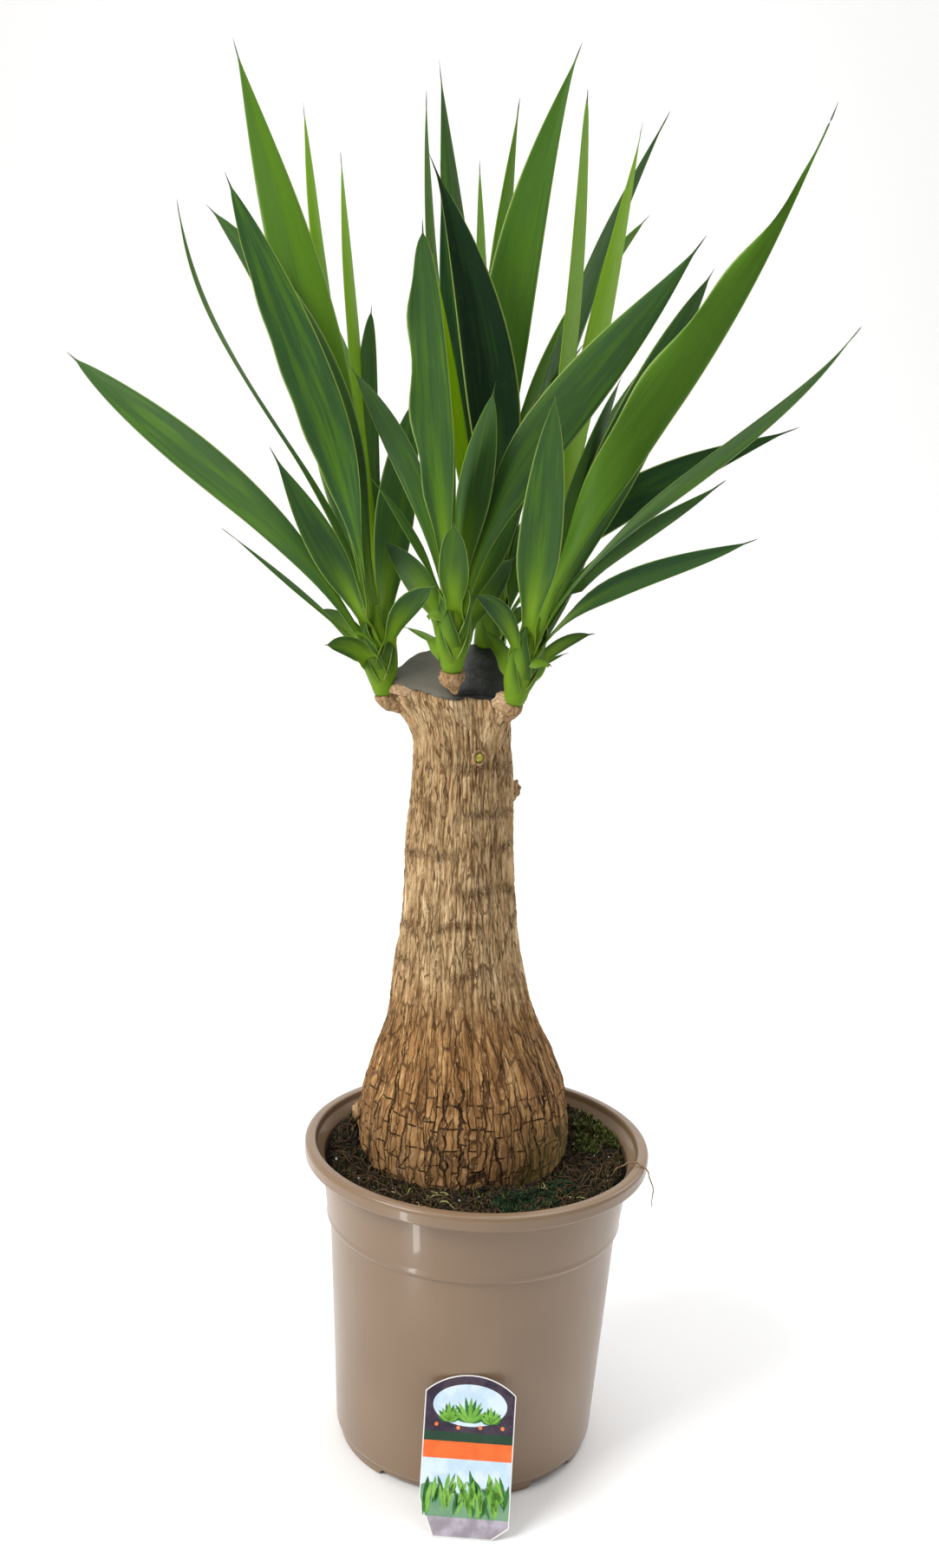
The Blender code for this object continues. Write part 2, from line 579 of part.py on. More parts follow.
def leaf_path(shoot, leaf):
    """a leaf's four Bezier knots, from its root in the stem to its tip, and its side direction"""
    foot, axis = Vector(shoot.foot), Vector(shoot.lean).normalized()
    tip = Vector(leaf.tip)
    steep = max((tip - foot).normalized().dot(axis), 0.0)
    root = foot + axis * (LOWEST_ROOT + (HIGHEST_ROOT - LOWEST_ROOT) * steep**4)
    outward = tip - root
    outward = (outward - axis * outward.dot(axis)).normalized()
    root += outward * CORE_RADIUS * 0.35
    chord = tip - root
    along = chord.normalized()
    inward = (axis - along * axis.dot(along)).normalized()
    right = Vector((1.0, 0.0, 0.0))
    right = (right - along * right.dot(along)).normalized()
    bulge = (inward * leaf.arch + right * leaf.sway) * (4 / 3)
    knot_a = root + chord / 3 + bulge * chord.length
    knot_b = root + chord * 2 / 3 + (bulge - inward * leaf.hook) * chord.length
    return (root, knot_a, knot_b, tip), axis.cross(outward)


def leaf_frames(shoot, leaf, stations):
    """share, point, tangent, side and upper-face direction at each station along a leaf"""
    (a, b, c, d), spread = leaf_path(shoot, leaf)
    frames = []
    for i in range(stations):
        t = i / (stations - 1)
        s = 1.0 - t
        point = a * s**3 + b * 3 * s * s * t + c * 3 * s * t * t + d * t**3
        tangent = ((b - a) * s * s + (c - b) * 2 * s * t + (d - c) * t * t).normalized()
        side = (spread - tangent * spread.dot(tangent)).normalized()
        upper = side.cross(tangent)
        if leaf.facing is not None:
            upper = turned_face(upper, tangent, leaf.facing, smooth_step(0.04, 0.45, t))
            side = tangent.cross(upper)
        frames.append((t, point, tangent, side, upper))
    return frames


def turned_face(upper, tangent, facing, share):
    """the upper-face direction, turned about the leaf by a share of the way to its facing"""
    heading = math.radians(facing)
    wanted = Vector((math.sin(heading), -math.cos(heading), 0.0))
    wanted = (wanted - tangent * wanted.dot(tangent)).normalized()
    if wanted.dot(upper) < 0.0:
        wanted = -wanted
    angle = math.atan2(tangent.dot(upper.cross(wanted)), upper.dot(wanted)) * share
    return upper * math.cos(angle) + tangent.cross(upper) * math.sin(angle)


def leaf_mesh(name, shoot, leaf):
    """a folded blade: two edges, a midrib above and a keel below, split alike on both faces"""
    points, faces = [], []
    for t, point, tangent, side, upper in leaf_frames(shoot, leaf, LEAF_STATIONS)[:-1]:
        half = leaf.width * blade_width(t, leaf.form) / 2
        fold = blade_fold(t)
        lift = upper * half * fold * 0.5
        out = side * half * math.sqrt(1.0 - 0.5 * fold * fold)
        keel = LEAF_KEEL * (1.5 - 0.9 * t)
        points += [point - out + lift, point + upper * keel * 0.3, point + out + lift,
                   point - upper * keel * 0.7]
    last = len(points)
    points.append(leaf_frames(shoot, leaf, LEAF_STATIONS)[-1][1])
    for i in range(0, last - 4, 4):
        left, rib, right, keel = i, i + 1, i + 2, i + 3
        faces += [(left, rib, rib + 4), (left, rib + 4, left + 4)]
        faces += [(rib, right, rib + 4), (right, right + 4, rib + 4)]
        faces += [(left, keel + 4, keel), (left, left + 4, keel + 4)]
        faces += [(keel, keel + 4, right), (right, keel + 4, right + 4)]
    end = last - 4
    faces += [(end, end + 1, last), (end + 1, end + 2, last)]
    faces += [(end + 2, end + 3, last), (end + 3, end, last)]
    faces += [(3, 2, 1, 0)]
    return mesh_of(name, points, faces)


def make_core(name, shoot, collection, finish):
    """the shoot's short green stem, which its leaves sheathe"""
    foot, axis = Vector(shoot.foot), Vector(shoot.lean).normalized()
    side = axis.cross(Vector((0, 1, 0))).normalized()
    up = side.cross(axis)
    steps = ((GAP, 0.90), (0.006, 1.08), (0.018, 1.12), (0.040, 0.90), (CORE_LENGTH, 0.45))
    rings = []
    for height, share in steps:
        width = CORE_RADIUS * share
        rings.append([foot + axis * height + width * (math.cos(t) * side - math.sin(t) * up)
                      for t in headings(CORE_SIDES)])
    return add_object(name, mesh_of(name, *ring_loft(rings)), collection, finish)


def make_shoot(side, parts, finish):
    shoot = SHOOTS[side]
    core = make_core("shoot_" + side, shoot, parts, finish)
    blades = new_collection("blades_" + side)
    for i, leaf in enumerate(LEAVES[side]):
        name = f"blade_{side}_{i}"
        add_object(name, leaf_mesh(name, shoot, leaf), blades)
    join_collection(core, blades, "MANIFOLD")
    return core


def label_outline():
    """the card's outline, from its foot anticlockwise"""
    half = LABEL_WIDTH / 2
    radius = (half**2 + LABEL_ARCH**2) / (2 * LABEL_ARCH)
    centre = LABEL_LENGTH - radius
    sweep = math.asin(half / radius)
    left_in, left_up = LABEL_CUT_LEFT
    right_in, right_up = LABEL_CUT_RIGHT
    outline = [(-half + left_in, 0.0), (half - right_in, 0.0), (half, right_up)]
    for i in range(LABEL_ARCH_STEPS + 1):
        turn = sweep * (1.0 - 2.0 * i / LABEL_ARCH_STEPS)
        outline.append((radius * math.sin(turn), centre + radius * math.cos(turn)))
    outline.append((-half, left_up))
    return outline


def make_label(parts):
    """a flat plastic card leaning on the pot"""
    outline = label_outline()
    curve = bpy.data.curves.new("plant_label", "CURVE")
    curve.dimensions = "2D"
    curve.fill_mode = "BOTH"
    curve.extrude = LABEL_THICK / 2
    spline = curve.splines.new("POLY")
    spline.points.add(len(outline) - 1)
    for point, (x, z) in zip(spline.points, outline):
        point.co = (x, z, 0.0, 1.0)
    spline.use_cyclic_u = True
    flat = bpy.data.objects.new("label_curve", curve)
    parts.objects.link(flat)
    graph = bpy.context.evaluated_depsgraph_get()
    mesh = bpy.data.meshes.new_from_object(flat.evaluated_get(graph))
    bpy.data.objects.remove(flat, do_unlink=True)
    weld = bmesh.new()
    weld.from_mesh(mesh)
    bmesh.ops.remove_doubles(weld, verts=weld.verts, dist=0.00001)
    weld.to_mesh(mesh)
    weld.free()
    label = add_object("plant_label", mesh, parts, material("label_card", (0.30, 0.50, 0.22), 0.35))
    label.rotation_euler = (LABEL_LEAN, 0.0, 0.0)
    label.location = label_foot()
    return label


def label_foot():
    """where the label's foot stands, so that its back meets the pot's wall at its top"""
    top = LABEL_LENGTH * math.sin(LABEL_LEAN)
    wall = float(np.interp(top, (FOOT_HEIGHT + 0.0036, STEP_Z), (BODY_FOOT_RADIUS, BODY_TOP_RADIUS)))
    back = LABEL_THICK / 2 / math.sin(LABEL_LEAN) + GAP
    reach = LABEL_LENGTH * math.cos(LABEL_LEAN)
    return (LABEL_X, -(wall + back + reach), LABEL_THICK / 2 * math.cos(LABEL_LEAN))


def main():
    clear_scene()
    parts = new_collection("potted_yucca")
    cutters = new_collection("cutters")
    make_pot(parts, cutters)
    make_soil(parts)
    make_trunk(parts)
    make_wax(parts, cutters)
    for side in SHOOTS:
        make_shoot(side, parts, material("leaf_" + side, (0.07, 0.20, 0.045), 0.42))
    make_label(parts)


main()
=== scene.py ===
"""Looks for the potted yucca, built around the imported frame. Metres, +Z up, -Y to the front."""

import random
from collections import namedtuple
from math import asin, atan2, cos, exp, hypot, pi, radians, sin, sqrt

import bpy
import numpy as np
from mathutils import Matrix, Vector, noise


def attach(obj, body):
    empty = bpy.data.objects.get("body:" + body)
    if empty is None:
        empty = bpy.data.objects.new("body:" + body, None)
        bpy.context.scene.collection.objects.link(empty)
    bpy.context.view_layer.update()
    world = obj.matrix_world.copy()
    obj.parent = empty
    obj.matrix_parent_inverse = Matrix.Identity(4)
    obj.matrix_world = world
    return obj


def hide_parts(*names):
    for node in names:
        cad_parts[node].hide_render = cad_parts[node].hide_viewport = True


# Camera, from the fitted view of the pot
CAMERA_AT = (0.0299, -1.126, 0.739)
CAMERA_DOWN = 0.2289
CAMERA_YAW = -0.0417
CAMERA_ROLL = 0.0481
SENSOR = 36.0
LENS = 39.8

# Floor: half its width, its near and far ends, the radius of its bend and the top behind it
FLOOR_HALF = 4.0
FLOOR_FRONT = -3.0
FLOOR_BACK = 1.6
FLOOR_BEND = 1.2
FLOOR_TOP = 4.5
FLOOR_STEPS = 12
FLOOR_BELOW = 0.0002

# Pot
RIM_RADIUS = 0.12
RIM_OPENING = 0.1124
POT_HEIGHT = 0.2233
LIP_HEIGHT = 0.0108
WALL = 0.0018
COLLAR_TOP_RADIUS = 0.1079
STEP_RADIUS = 0.1026
STEP_Z = 0.168
BODY_TOP_RADIUS = 0.1006
BODY_FOOT_RADIUS = 0.0916
FOOT_RADIUS = 0.0888
FOOT_HEIGHT = 0.0065
FOOT_WIDTH = 0.006
CHANNEL_Z = 0.005
CHANNEL_INNER = 0.062
FOOT_NOTCHES = 5
FIRST_NOTCH = radians(-114)
NOTCH_WIDTH = 0.04
NOTCH_HEIGHT = 0.0042
POT_SIDES = 240
CORNER_REACH = 0.0005
CORNER_SHARE = 0.28
CORNER_HOLD = 1.6

# Soil
SOIL_BELOW_RIM = 0.02
SOIL_LEVEL = POT_HEIGHT - SOIL_BELOW_RIM
SOIL_BANK = 0.0085
GAP = 0.0003

# Trunk: rows of height, radius and how far the axis has leant to the left
TRUNK_Y = 0.02
TRUNK_ROWS = (
    (0.1350, 0.0560, -0.0100),
    (0.1500, 0.0600, -0.0100),
    (0.1850, 0.0680, -0.0103),
    (0.2030, 0.0725, -0.0105),
    (0.2250, 0.0748, -0.0107),
    (0.2450, 0.0728, -0.0110),
    (0.2610, 0.0688, -0.0113),
    (0.2870, 0.0596, -0.0135),
    (0.3127, 0.0505, -0.0165),
    (0.3400, 0.0452, -0.0185),
    (0.3760, 0.0404, -0.0202),
    (0.4255, 0.0367, -0.0220),
    (0.4740, 0.0343, -0.0230),
    (0.4980, 0.0330, -0.0237),
    (0.5220, 0.0342, -0.0260),
    (0.5460, 0.0372, -0.0290),
)
TRUNK_SIDES = 336
TRUNK_RINGS = 270
TRUNK_LOW = 0.19
CUT_SLOPE = 0.25
CUT_CENTRE_Z = 0.549
BULB_TOP = 0.3
# Swellings under the shoots: shoot, reach, spread in radians and lowest height
FLARES = (("left", 0.013, 0.3, 0.494), ("right", 0.012, 0.28, 0.492),
          ("back", 0.009, 0.3, 0.5), ("front", 0.003, 0.22, 0.515))
# Old leaf scars: height, tilt and phase
BANDS = ((0.352, 0.003, 0.5), (0.379, 0.004, 2.1), (0.404, 0.004, 4.0),
         (0.432, 0.005, 1.2), (0.462, 0.004, 5.2), (0.488, 0.003, 3.3))
# Rings under the wax: how far in and up
TRUNK_TOP_ROWS = ((-0.006, 0.0002), (-0.02, 0.0003), (-0.0365, 0.0003))
# Small forms on the trunk: name, heading in degrees, height and half sizes
KNOBS = (("knob", 8, 0.468, (0.005, 0.0052, 0.0072)), ("root_bump", 186, 0.232, (0.0045, 0.006, 0.0065)),
         ("spike", 176, 0.52, (0.0022, 0.001, 0.0016)))
# Faces of two cuts, between the wax and the feet of two shoots: name, middle and half sizes
CUTS = (("cut_left", (-0.0652, -0.002, 0.5385), (0.0115, 0.006, 0.0042)),
        ("cut_right", (0.001, -0.0125, 0.5362), (0.008, 0.0048, 0.0066)))
BUD_HEADING = radians(-68)
BUD_Z = 0.497
BUD_RING = (28, 10)
UNROLLED_RADIUS = 0.045
STUB_RINGS = 15
STUB_SIDES = 40

# Wax, from its hem to its middle: how far out, how far up, and how much it drips
WAX_ROWS = (
    (0.0002, -0.0026, 1.0), (0.001, -0.0018, 0.9), (0.0014, -0.0008, 0.6), (0.0012, 0.0004, 0.3),
    (0.0002, 0.0014, 0.1), (-0.0012, 0.0019, 0.0), (-0.0035, 0.0021, 0.0), (-0.007, 0.002, 0.0),
    (-0.012, 0.002, 0.0), (-0.018, 0.0019, 0.0), (-0.025, 0.0018, 0.0), (-0.032, 0.0018, 0.0),
)
WAX_SIDES = 160

# Shoots: where each stands, which way it points, where its stub leaves the trunk and how thick it is
Shoot = namedtuple("Shoot", "foot axis root stub_radius")
SHOOTS = {
    name: Shoot(Vector(foot), Vector(lean).normalized(), Vector(root), radius)
    for name, foot, lean, root, radius in (
        ("left", (-0.0765, 0.0, 0.534), (-0.12, -0.05, 1.0), (-0.046, 0.01, 0.524), 0.0062),
        ("front", (-0.031, -0.021, 0.555), (0.0, -0.12, 1.0), (-0.0287, -0.0165, 0.5395), 0.0082),
        ("right", (0.0095, -0.013, 0.535), (0.2, -0.1, 1.0), (-0.006, 0.002, 0.523), 0.0066),
        ("back", (-0.012, 0.064, 0.543), (0.06, 0.15, 1.0), (-0.022, 0.04, 0.523), 0.0088),
    )
}
CORE_RADIUS = 0.0088
CORE_LENGTH = 0.06
LOWEST_ROOT = 0.009
HIGHEST_ROOT = 0.05
ROOT_OUT = 0.35 * CORE_RADIUS
CORE_RINGS = 40
CORE_SIDES = 28
# The stem's width along its height, as a share of CORE_RADIUS, and the same for the leaf bases
CORE_SHAPE = ((0.0, 0.002, 0.006, 0.018, 0.04, 0.06), (0.66, 0.8, 0.9, 1.0, 0.8, 0.3))
SCALE_SHAPE = ((0.0, 0.006, 0.018, 0.04), (0.76, 0.98, 1.12, 1.06))
SCALE_ROWS = 14

# Leaves, in whole numbers: the tip's place and the width in millimetres; arch, hook and sway in
# thousandths of the leaf's length; facing in degrees and form as in the solids; tone in hundredths,
# from dark blue-green at 0 to backlit lime at 100, the leaf's own green mixed with painted light:
# painted shade towards 0, a painted bluish sheen on the darker tones and painted backlight towards 100
Leaf = namedtuple("Leaf", "tip width arch hook sway facing form tone")
LEAF_ROWS = {
    "left": (
        (-201, 90, 952, 36, 55, 50, 0, 25, "long", 70),
        (-165, 170, 925, 21, 0, 0, -10, 62, "lance", 92),
        (-135, 150, 890, 24, 0, 0, 0, 70, "lance", 100),
        (-182, -30, 855, 31, 60, 50, -5, 5, "lance", 34),
        (-208, 40, 842, 29, 60, -40, 35, 20, "lance", 20),
        (-235, 80, 848, 18, 110, 280, -10, 78, "ribbon", 50),
        (-305, 60, 745, 27, 90, 100, 0, 0, "strap", 31),
        (-145, -70, 695, 21, 0, 0, 0, 10, "long", 29),
        (-187, 0, 638, 12, 15, 0, 0, 85, "ribbon", 40),
        (-130, 50, 582, 13, 120, 0, 0, 25, "lance", 12),
        (-111, -50, 572, 14, 120, 0, 0, 40, "blunt", 30),
        (-40, -60, 615, 17, 120, 0, 0, 20, "strap", 32),
        (-106, 120, 788, 20, 20, 0, -20, 30, "blunt", 30),
        (-70, 80, 730, 30, 20, 0, 0, 30, "lance", 34),
        (-150, 220, 790, 34, 80, 0, 0, None, "long", 25),
        (-165, 160, 785, 30, 60, 0, 0, None, "long", 25),
        (-125, 210, 690, 28, 100, 0, 0, None, "long", 22),
        (-105, 130, 610, 18, 120, 0, 0, None, "long", 20),
        (-102, -20, 578, 7, 50, 0, 0, None, "lance", 35),
    ),
    "front": (
        (-55, -100, 827, 25, 20, 0, -25, 0, "blunt", 41),
        (-30, -100, 658, 19, 40, 0, 0, 0, "blunt", 44),
        (-48, -30, 592, 9, 40, 0, 0, None, "lance", 30),
        (-110, 30, 745, 17, 70, 20, 20, 15, "strap", 26),
        (-85, 20, 635, 19, 80, 0, 0, 20, "lance", 16),
        (-85, -65, 680, 9, 50, 0, 0, 65, "ribbon", 45),
        (115, 20, 835, 34, 120, 140, 0, -10, "long", 22),
        (10, 30, 680, 26, 50, 0, 0, -10, "lance", 22),
        (6, 40, 626, 22, 90, 0, 0, -10, "lance", 18),
        (-66, 8, 578, 10, 80, 0, 0, None, "lance", 25),
        (-45, -45, 765, 26, 30, 0, 0, None, "lance", 50),
        (-12, -10, 740, 26, 30, 0, 0, None, "lance", 30),
    ),
    "right": (
        (35, 130, 935, 22, 0, 0, 20, 60, "blunt", 86),
        (75, 160, 920, 25, 0, 0, 5, 48, "long", 96),
        (127, 90, 820, 28, 40, 0, 0, 30, "lance", 20),
        (185, -10, 912, 33, 70, 150, 0, 25, "spear", 62),
        (205, -50, 781, 20, 100, 180, 0, 60, "ribbon", 45),
        (143, 60, 682, 14, 180, 200, 0, 50, "ribbon", 22),
        (58, 70, 637, 16, 50, 0, 0, 30, "lance", 12),
        (26, -120, 736, 27, 30, 0, -5, 0, "low", 39),
        (157, -30, 651, 16, 170, 170, 0, 35, "lance", 24),
        (61, 20, 579, 10, 120, 0, 0, 45, "lance", 10),
        (32, -26, 564, 6, -150, 0, 0, None, "ribbon", 20),
        (-20, -70, 612, 13, 140, 0, 0, 15, "strap", 26),
        (-14, 10, 580, 10, 50, 0, 0, 20, "lance", 12),
        (69, 60, 747, 20, 90, 0, 0, 60, "lance", 45),
        (100, 170, 775, 30, 60, 0, 0, None, "long", 20),
        (128, 80, 795, 28, 40, 0, 0, None, "long", 20),
        (48, 75, 706, 20, 0, 0, 0, 30, "lance", 95),
        (44, 10, 567, 5, 60, 0, 0, None, "ribbon", 15),
    ),
    "back": (
        (-77, 160, 935, 18, 0, 0, -30, 66, "ribbon", 62),
        (-66, 120, 948, 28, 0, 0, 0, 40, "long", 30),
        (-65, 50, 880, 36, 0, 0, 70, 0, "long", 2),
        (-40, 200, 895, 21, 0, 0, 0, 60, "lance", 80),
        (-12, 170, 934, 26, 0, 0, -20, 50, "long", 72),
        (30, 100, 960, 34, 0, 0, -60, 0, "long", 53),
        (96, 210, 935, 24, 0, 0, -40, 50, "long", 38),
        (88, 240, 866, 24, 40, 0, -55, 50, "lance", 62),
        (-32, 60, 687, 26, 0, 0, 50, 0, "lance", 28),
        (195, 105, 718, 27, 150, 110, 0, 10, "long", 14),
        (-15, 270, 840, 30, 80, 0, -30, None, "long", 10),
        (-40, 320, 765, 34, 100, 0, 0, None, "long", 5),
        (44, 150, 769, 24, 40, 0, -50, 20, "long", 2),
        (-22, 200, 693, 28, 120, 0, 0, None, "long", 95),
        (50, 250, 660, 30, 140, 0, 0, None, "long", 20),
        (0, 200, 600, 22, 140, 0, 0, None, "long", 15),
        (30, 150, 580, 16, 140, 0, 0, None, "long", 12),
        (-62, 60, 825, 13, 0, 0, -10, 30, "ribbon", 90),
        (-60, 85, 880, 26, 0, 0, -5, 10, "long", 18),
    ),
}
LEAVES = {
    side: [Leaf(Vector([v / 1000 for v in row[:3]]), *(v / 1000 for v in row[3:7]), *row[7:9], row[9] / 100)
           for row in rows]
    for side, rows in LEAF_ROWS.items()
}
FOLD_ROOT = 0.85
FOLD_TIP = 0.22
ROOT_WIDTH = 0.34
FORMS = {
    "spear": (0.46, 2.2), "long": (0.5, 1.25), "lance": (0.52, 0.85), "blunt": (0.5, 0.55),
    "strap": (0.62, 0.8), "low": (0.4, 0.8), "ribbon": (0.56, 1.0),
}
LEAF_ACROSS = 13
LEAF_SHARES = [2.0 * j / (LEAF_ACROSS - 1) - 1.0 for j in range(LEAF_ACROSS)]
LEAF_THICK_FOOT = 0.00085
LEAF_THICK_TIP = 0.00045
STATION_STEP = 0.0065
STATION_POWER = 1.35
RIPPLE = 0.0006
NEEDLE_BEND = 1.2
UPRIGHT_SHEATH = 0.62
SHEATH_LENGTH = 0.022
SHEATH_HALF = 0.0125
SHEATH_BEND = 1.45
# Leaf bases round each shoot's foot: heading, start and height
SCALES = ((0.1, 0.0005, 0.044), (3.2, 0.003, 0.046), (5.0, 0.006, 0.044), (0.6, 0.012, 0.044),
          (3.0, 0.016, 0.042))
NEEDLE_LENGTH = 0.009
NEEDLE_HALF = 0.0006

# Margins that ripple: side, size in metres, ripples along the blade
WAVES = {
    ("front", 0): (-1, 0.0022, 4.0),
    ("right", 3): (1, 0.002, 4.5),
    ("left", 3): (-1, 0.0006, 7.0),
}
# Leaves whose halves catch the light unlike: how much darker or lighter the right half is
HALF_LIGHTING = {("left", 0): -0.12, ("right", 8): 0.14, ("back", 2): 0.05, ("right", 7): 0.04}

# How strongly the yellow-green middle shows, where it isn't 1
STRIPES = {("left", 0): 0.3, ("left", 3): 0.4, ("left", 6): 0.6, ("right", 2): 0.5, ("right", 3): 0.5,
           ("back", 2): 0.3, ("back", 5): 0.5, ("front", 0): 1.1}

# Litter on the soil: piece, material, two tones, how many, sizes and flatness
CRUMBS = (
    ("crumbs_dark", "crumb_dark", (0.004, 0.003, 0.002), (0.02, 0.013, 0.009),
     2000, (0.0008, 0.0027), (0.6, 1.1)),
    ("crumbs_brown", "crumb_brown", (0.018, 0.01, 0.005), (0.07, 0.04, 0.021),
     900, (0.0008, 0.003), (0.25, 0.7)),
    ("perlite", "perlite", (0.52, 0.5, 0.46), (0.8, 0.79, 0.75), 130, (0.0006, 0.0016), (0.6, 1.0)),
)
CHUNK_POINTS = ((0, 0, 1), (0.9, 0.1, 0.3), (0.2, 0.95, 0.25), (-0.85, 0.35, 0.3), (-0.35, -0.85, 0.3),
                (0.55, -0.75, -0.35), (0.75, 0.6, -0.4), (-0.5, 0.7, -0.45), (-0.8, -0.4, -0.4), (0, 0, -1))
CHUNK_FACES = ((0, 1, 2), (0, 2, 3), (0, 3, 4), (0, 4, 1), (1, 5, 6), (1, 6, 2), (2, 6, 7), (2, 7, 3),
               (3, 7, 8), (3, 8, 4), (4, 8, 5), (4, 5, 1), (9, 6, 5), (9, 7, 6), (9, 8, 7), (9, 5, 8))
STRAW_PLACES = ((-0.04, -0.073, 0.014), (0.06, -0.06, 0.03))
STRAY_ROOT = ((0.092, -0.02, SOIL_LEVEL + 0.004), (0.104, -0.026, POT_HEIGHT + 0.01),
              (0.124, -0.032, POT_HEIGHT + 0.007), (0.1225, -0.036, POT_HEIGHT - 0.026))
BED_RINGS = 44
BED_SIDES = 260
# How far from the trunk's axis and from the wall the litter stays
CLEAR_OF_AXIS = 0.0735
FIBRE_CLEAR_OF_AXIS = 0.074
CLEAR_OF_WALL = 0.003

# Moss: round patches as x, y and reach, then piece, two tones, grain, how many, patches and heights
MOSS_BRIGHT = ((0.084, 0.054, 0.018), (0.084, 0.034, 0.013), (0.078, 0.018, 0.008), (0.097, 0.03, 0.008))
MOSS_DARK = ((0.028, -0.07, 0.015), (0.046, -0.06, 0.012), (0.06, -0.04, 0.009), (-0.084, 0.05, 0.014))
MOSSES = (
    ("moss_rust", (0.03, 0.02, 0.006), (0.11, 0.075, 0.022), 300.0, 2600, MOSS_BRIGHT + MOSS_DARK,
     (0.002, 0.0046)),
    ("moss_olive", (0.02, 0.022, 0.004), (0.085, 0.08, 0.018), 160.0, 5200, ((0.0, 0.0, 0.112),),
     (0.0018, 0.0044)),
    ("moss_tips", (0.09, 0.13, 0.02), (0.33, 0.37, 0.11), 300.0, 1500, MOSS_BRIGHT, (0.003, 0.0056)),
    ("moss_bright", (0.01, 0.02, 0.004), (0.075, 0.12, 0.018), 300.0, 5200, MOSS_BRIGHT, (0.0022, 0.005)),
    ("moss_dark", (0.004, 0.014, 0.007), (0.04, 0.09, 0.034), 300.0, 6500, MOSS_DARK, (0.0022, 0.0052)),
)

# Plant label
LABEL_WIDTH = 0.06
LABEL_LENGTH = 0.104
LABEL_ARCH = 0.0115
LABEL_CUT_LEFT = (0.01, 0.024)
LABEL_CUT_RIGHT = (0.011, 0.008)
LABEL_THICK = 0.0008
LABEL_X = 0.0075
LABEL_LEAN = radians(70.5)
CARD_STEPS = 24
PRINT_INSET = 0.0007
PRINT_LAYER = 0.00004
GROUND_TOP = 0.013
SKY_TOP = 0.05
BAND_TOP = 0.061
GREEN_BAND_TOP = 0.067
PRINT_COLOURS = {
    "field": ((0.02, 0.012, 0.03), (0.06, 0.038, 0.06)),
    "dark": ((0.02, 0.12, 0.018), (0.04, 0.19, 0.026)),
    "light": ((0.13, 0.36, 0.035), (0.22, 0.48, 0.07)),
    "band": ((0.78, 0.13, 0.02), (0.82, 0.16, 0.03)),
    "green_band": ((0.01, 0.045, 0.02), (0.014, 0.055, 0.025)),
    "sky": ((0.5, 0.66, 0.8), (0.66, 0.78, 0.86)),
    "far_hill": ((0.12, 0.27, 0.16), (0.18, 0.34, 0.2)),
    "ground": ((0.3, 0.26, 0.3), (0.46, 0.42, 0.5)),
    "bloom": ((0.75, 0.16, 0.03), (0.85, 0.25, 0.08)),
}


# Small tools

def smooth_step(low, high, value):
    t = min(max((value - low) / (high - low), 0.0), 1.0)
    return t * t * (3.0 - 2.0 * t)


def lerp(a, b, share):
    return a + (b - a) * share


def headings(sides):
    return [2 * pi * j / sides for j in range(sides)]


def shares(count):
    """evenly spaced shares from 0 to 1"""
    return [i / (count - 1) for i in range(count)]


def away_from(turn, heading):
    """the signed angle from a heading to a turn, within half a circle"""
    return (turn - heading + pi) % (2 * pi) - pi


def ring_noise(turn, size, z):
    """noise sampled on a circle, so that it meets itself after a full turn"""
    return noise.noise(Vector((size * cos(turn), size * sin(turn), z)))


def bezier(a, b, c, d, t):
    s = 1.0 - t
    return a * s**3 + b * 3 * s * s * t + c * 3 * s * t * t + d * t**3


def neighbour_direction(path, i):
    """the direction of a path at one of its points"""
    return (path[min(i + 1, len(path) - 1)] - path[max(i - 1, 0)]).normalized()


def cross_axes(along, guide=(0.0, 1.0, 0.0)):
    """two directions square to a third"""
    side = along.cross(Vector(guide)).normalized()
    return side, side.cross(along)


def around(turn, side, up):
    """a direction on the circle through side and up"""
    return cos(turn) * side - sin(turn) * up


def smooth_rows(rows, z, column):
    """a smooth curve through given rows, by cubic Hermite spans"""
    heights = [row[0] for row in rows]
    z = min(max(z, heights[0]), heights[-1])
    i = min(max(int(np.searchsorted(heights, z)) - 1, 0), len(rows) - 2)
    last = len(rows) - 1

    def slope(k):
        a, b = rows[max(k - 1, 0)], rows[min(k + 1, last)]
        return (b[column] - a[column]) / (b[0] - a[0])

    span = heights[i + 1] - heights[i]
    t = (z - heights[i]) / span
    start, end = rows[i][column], rows[i + 1][column]
    return ((2 * t**3 - 3 * t**2 + 1) * start + (t**3 - 2 * t**2 + t) * span * slope(i)
            + (3 * t**2 - 2 * t**3) * end + (t**3 - t**2) * span * slope(i + 1))


def placed(name, data):
    """a new object in the scene"""
    made = bpy.data.objects.new(name, data)
    bpy.context.scene.collection.objects.link(made)
    return made


def mesh_object(name, shape, finishes, smooth=True, slots=None):
    """a new mesh object with its materials"""
    points, faces = shape
    mesh = bpy.data.meshes.new(name)
    mesh.from_pydata([tuple(p) for p in points], [], faces)
    for finish in finishes:
        mesh.materials.append(finish)
    if smooth:
        mesh.polygons.foreach_set("use_smooth", [True] * len(mesh.polygons))
    if slots is not None:
        mesh.polygons.foreach_set("material_index", slots)
    mesh.update()
    return placed(name, mesh)


def piece(name, shape, finishes, slot, replaces=(), **settings):
    """a mesh object that rides on the root, with the nodes that it replaces hidden; the slot argument is not
    used
    """
    made = mesh_object(name, shape, finishes, **settings)
    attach(made, "root")
    if replaces:
        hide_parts(*replaces)
    return made


def add_values(made, name, values):
    """a vector for each vertex, for the materials to read"""
    held = made.data.attributes.new(name, "FLOAT_VECTOR", "POINT")
    held.data.foreach_set("vector", np.asarray(values, np.float32).ravel())


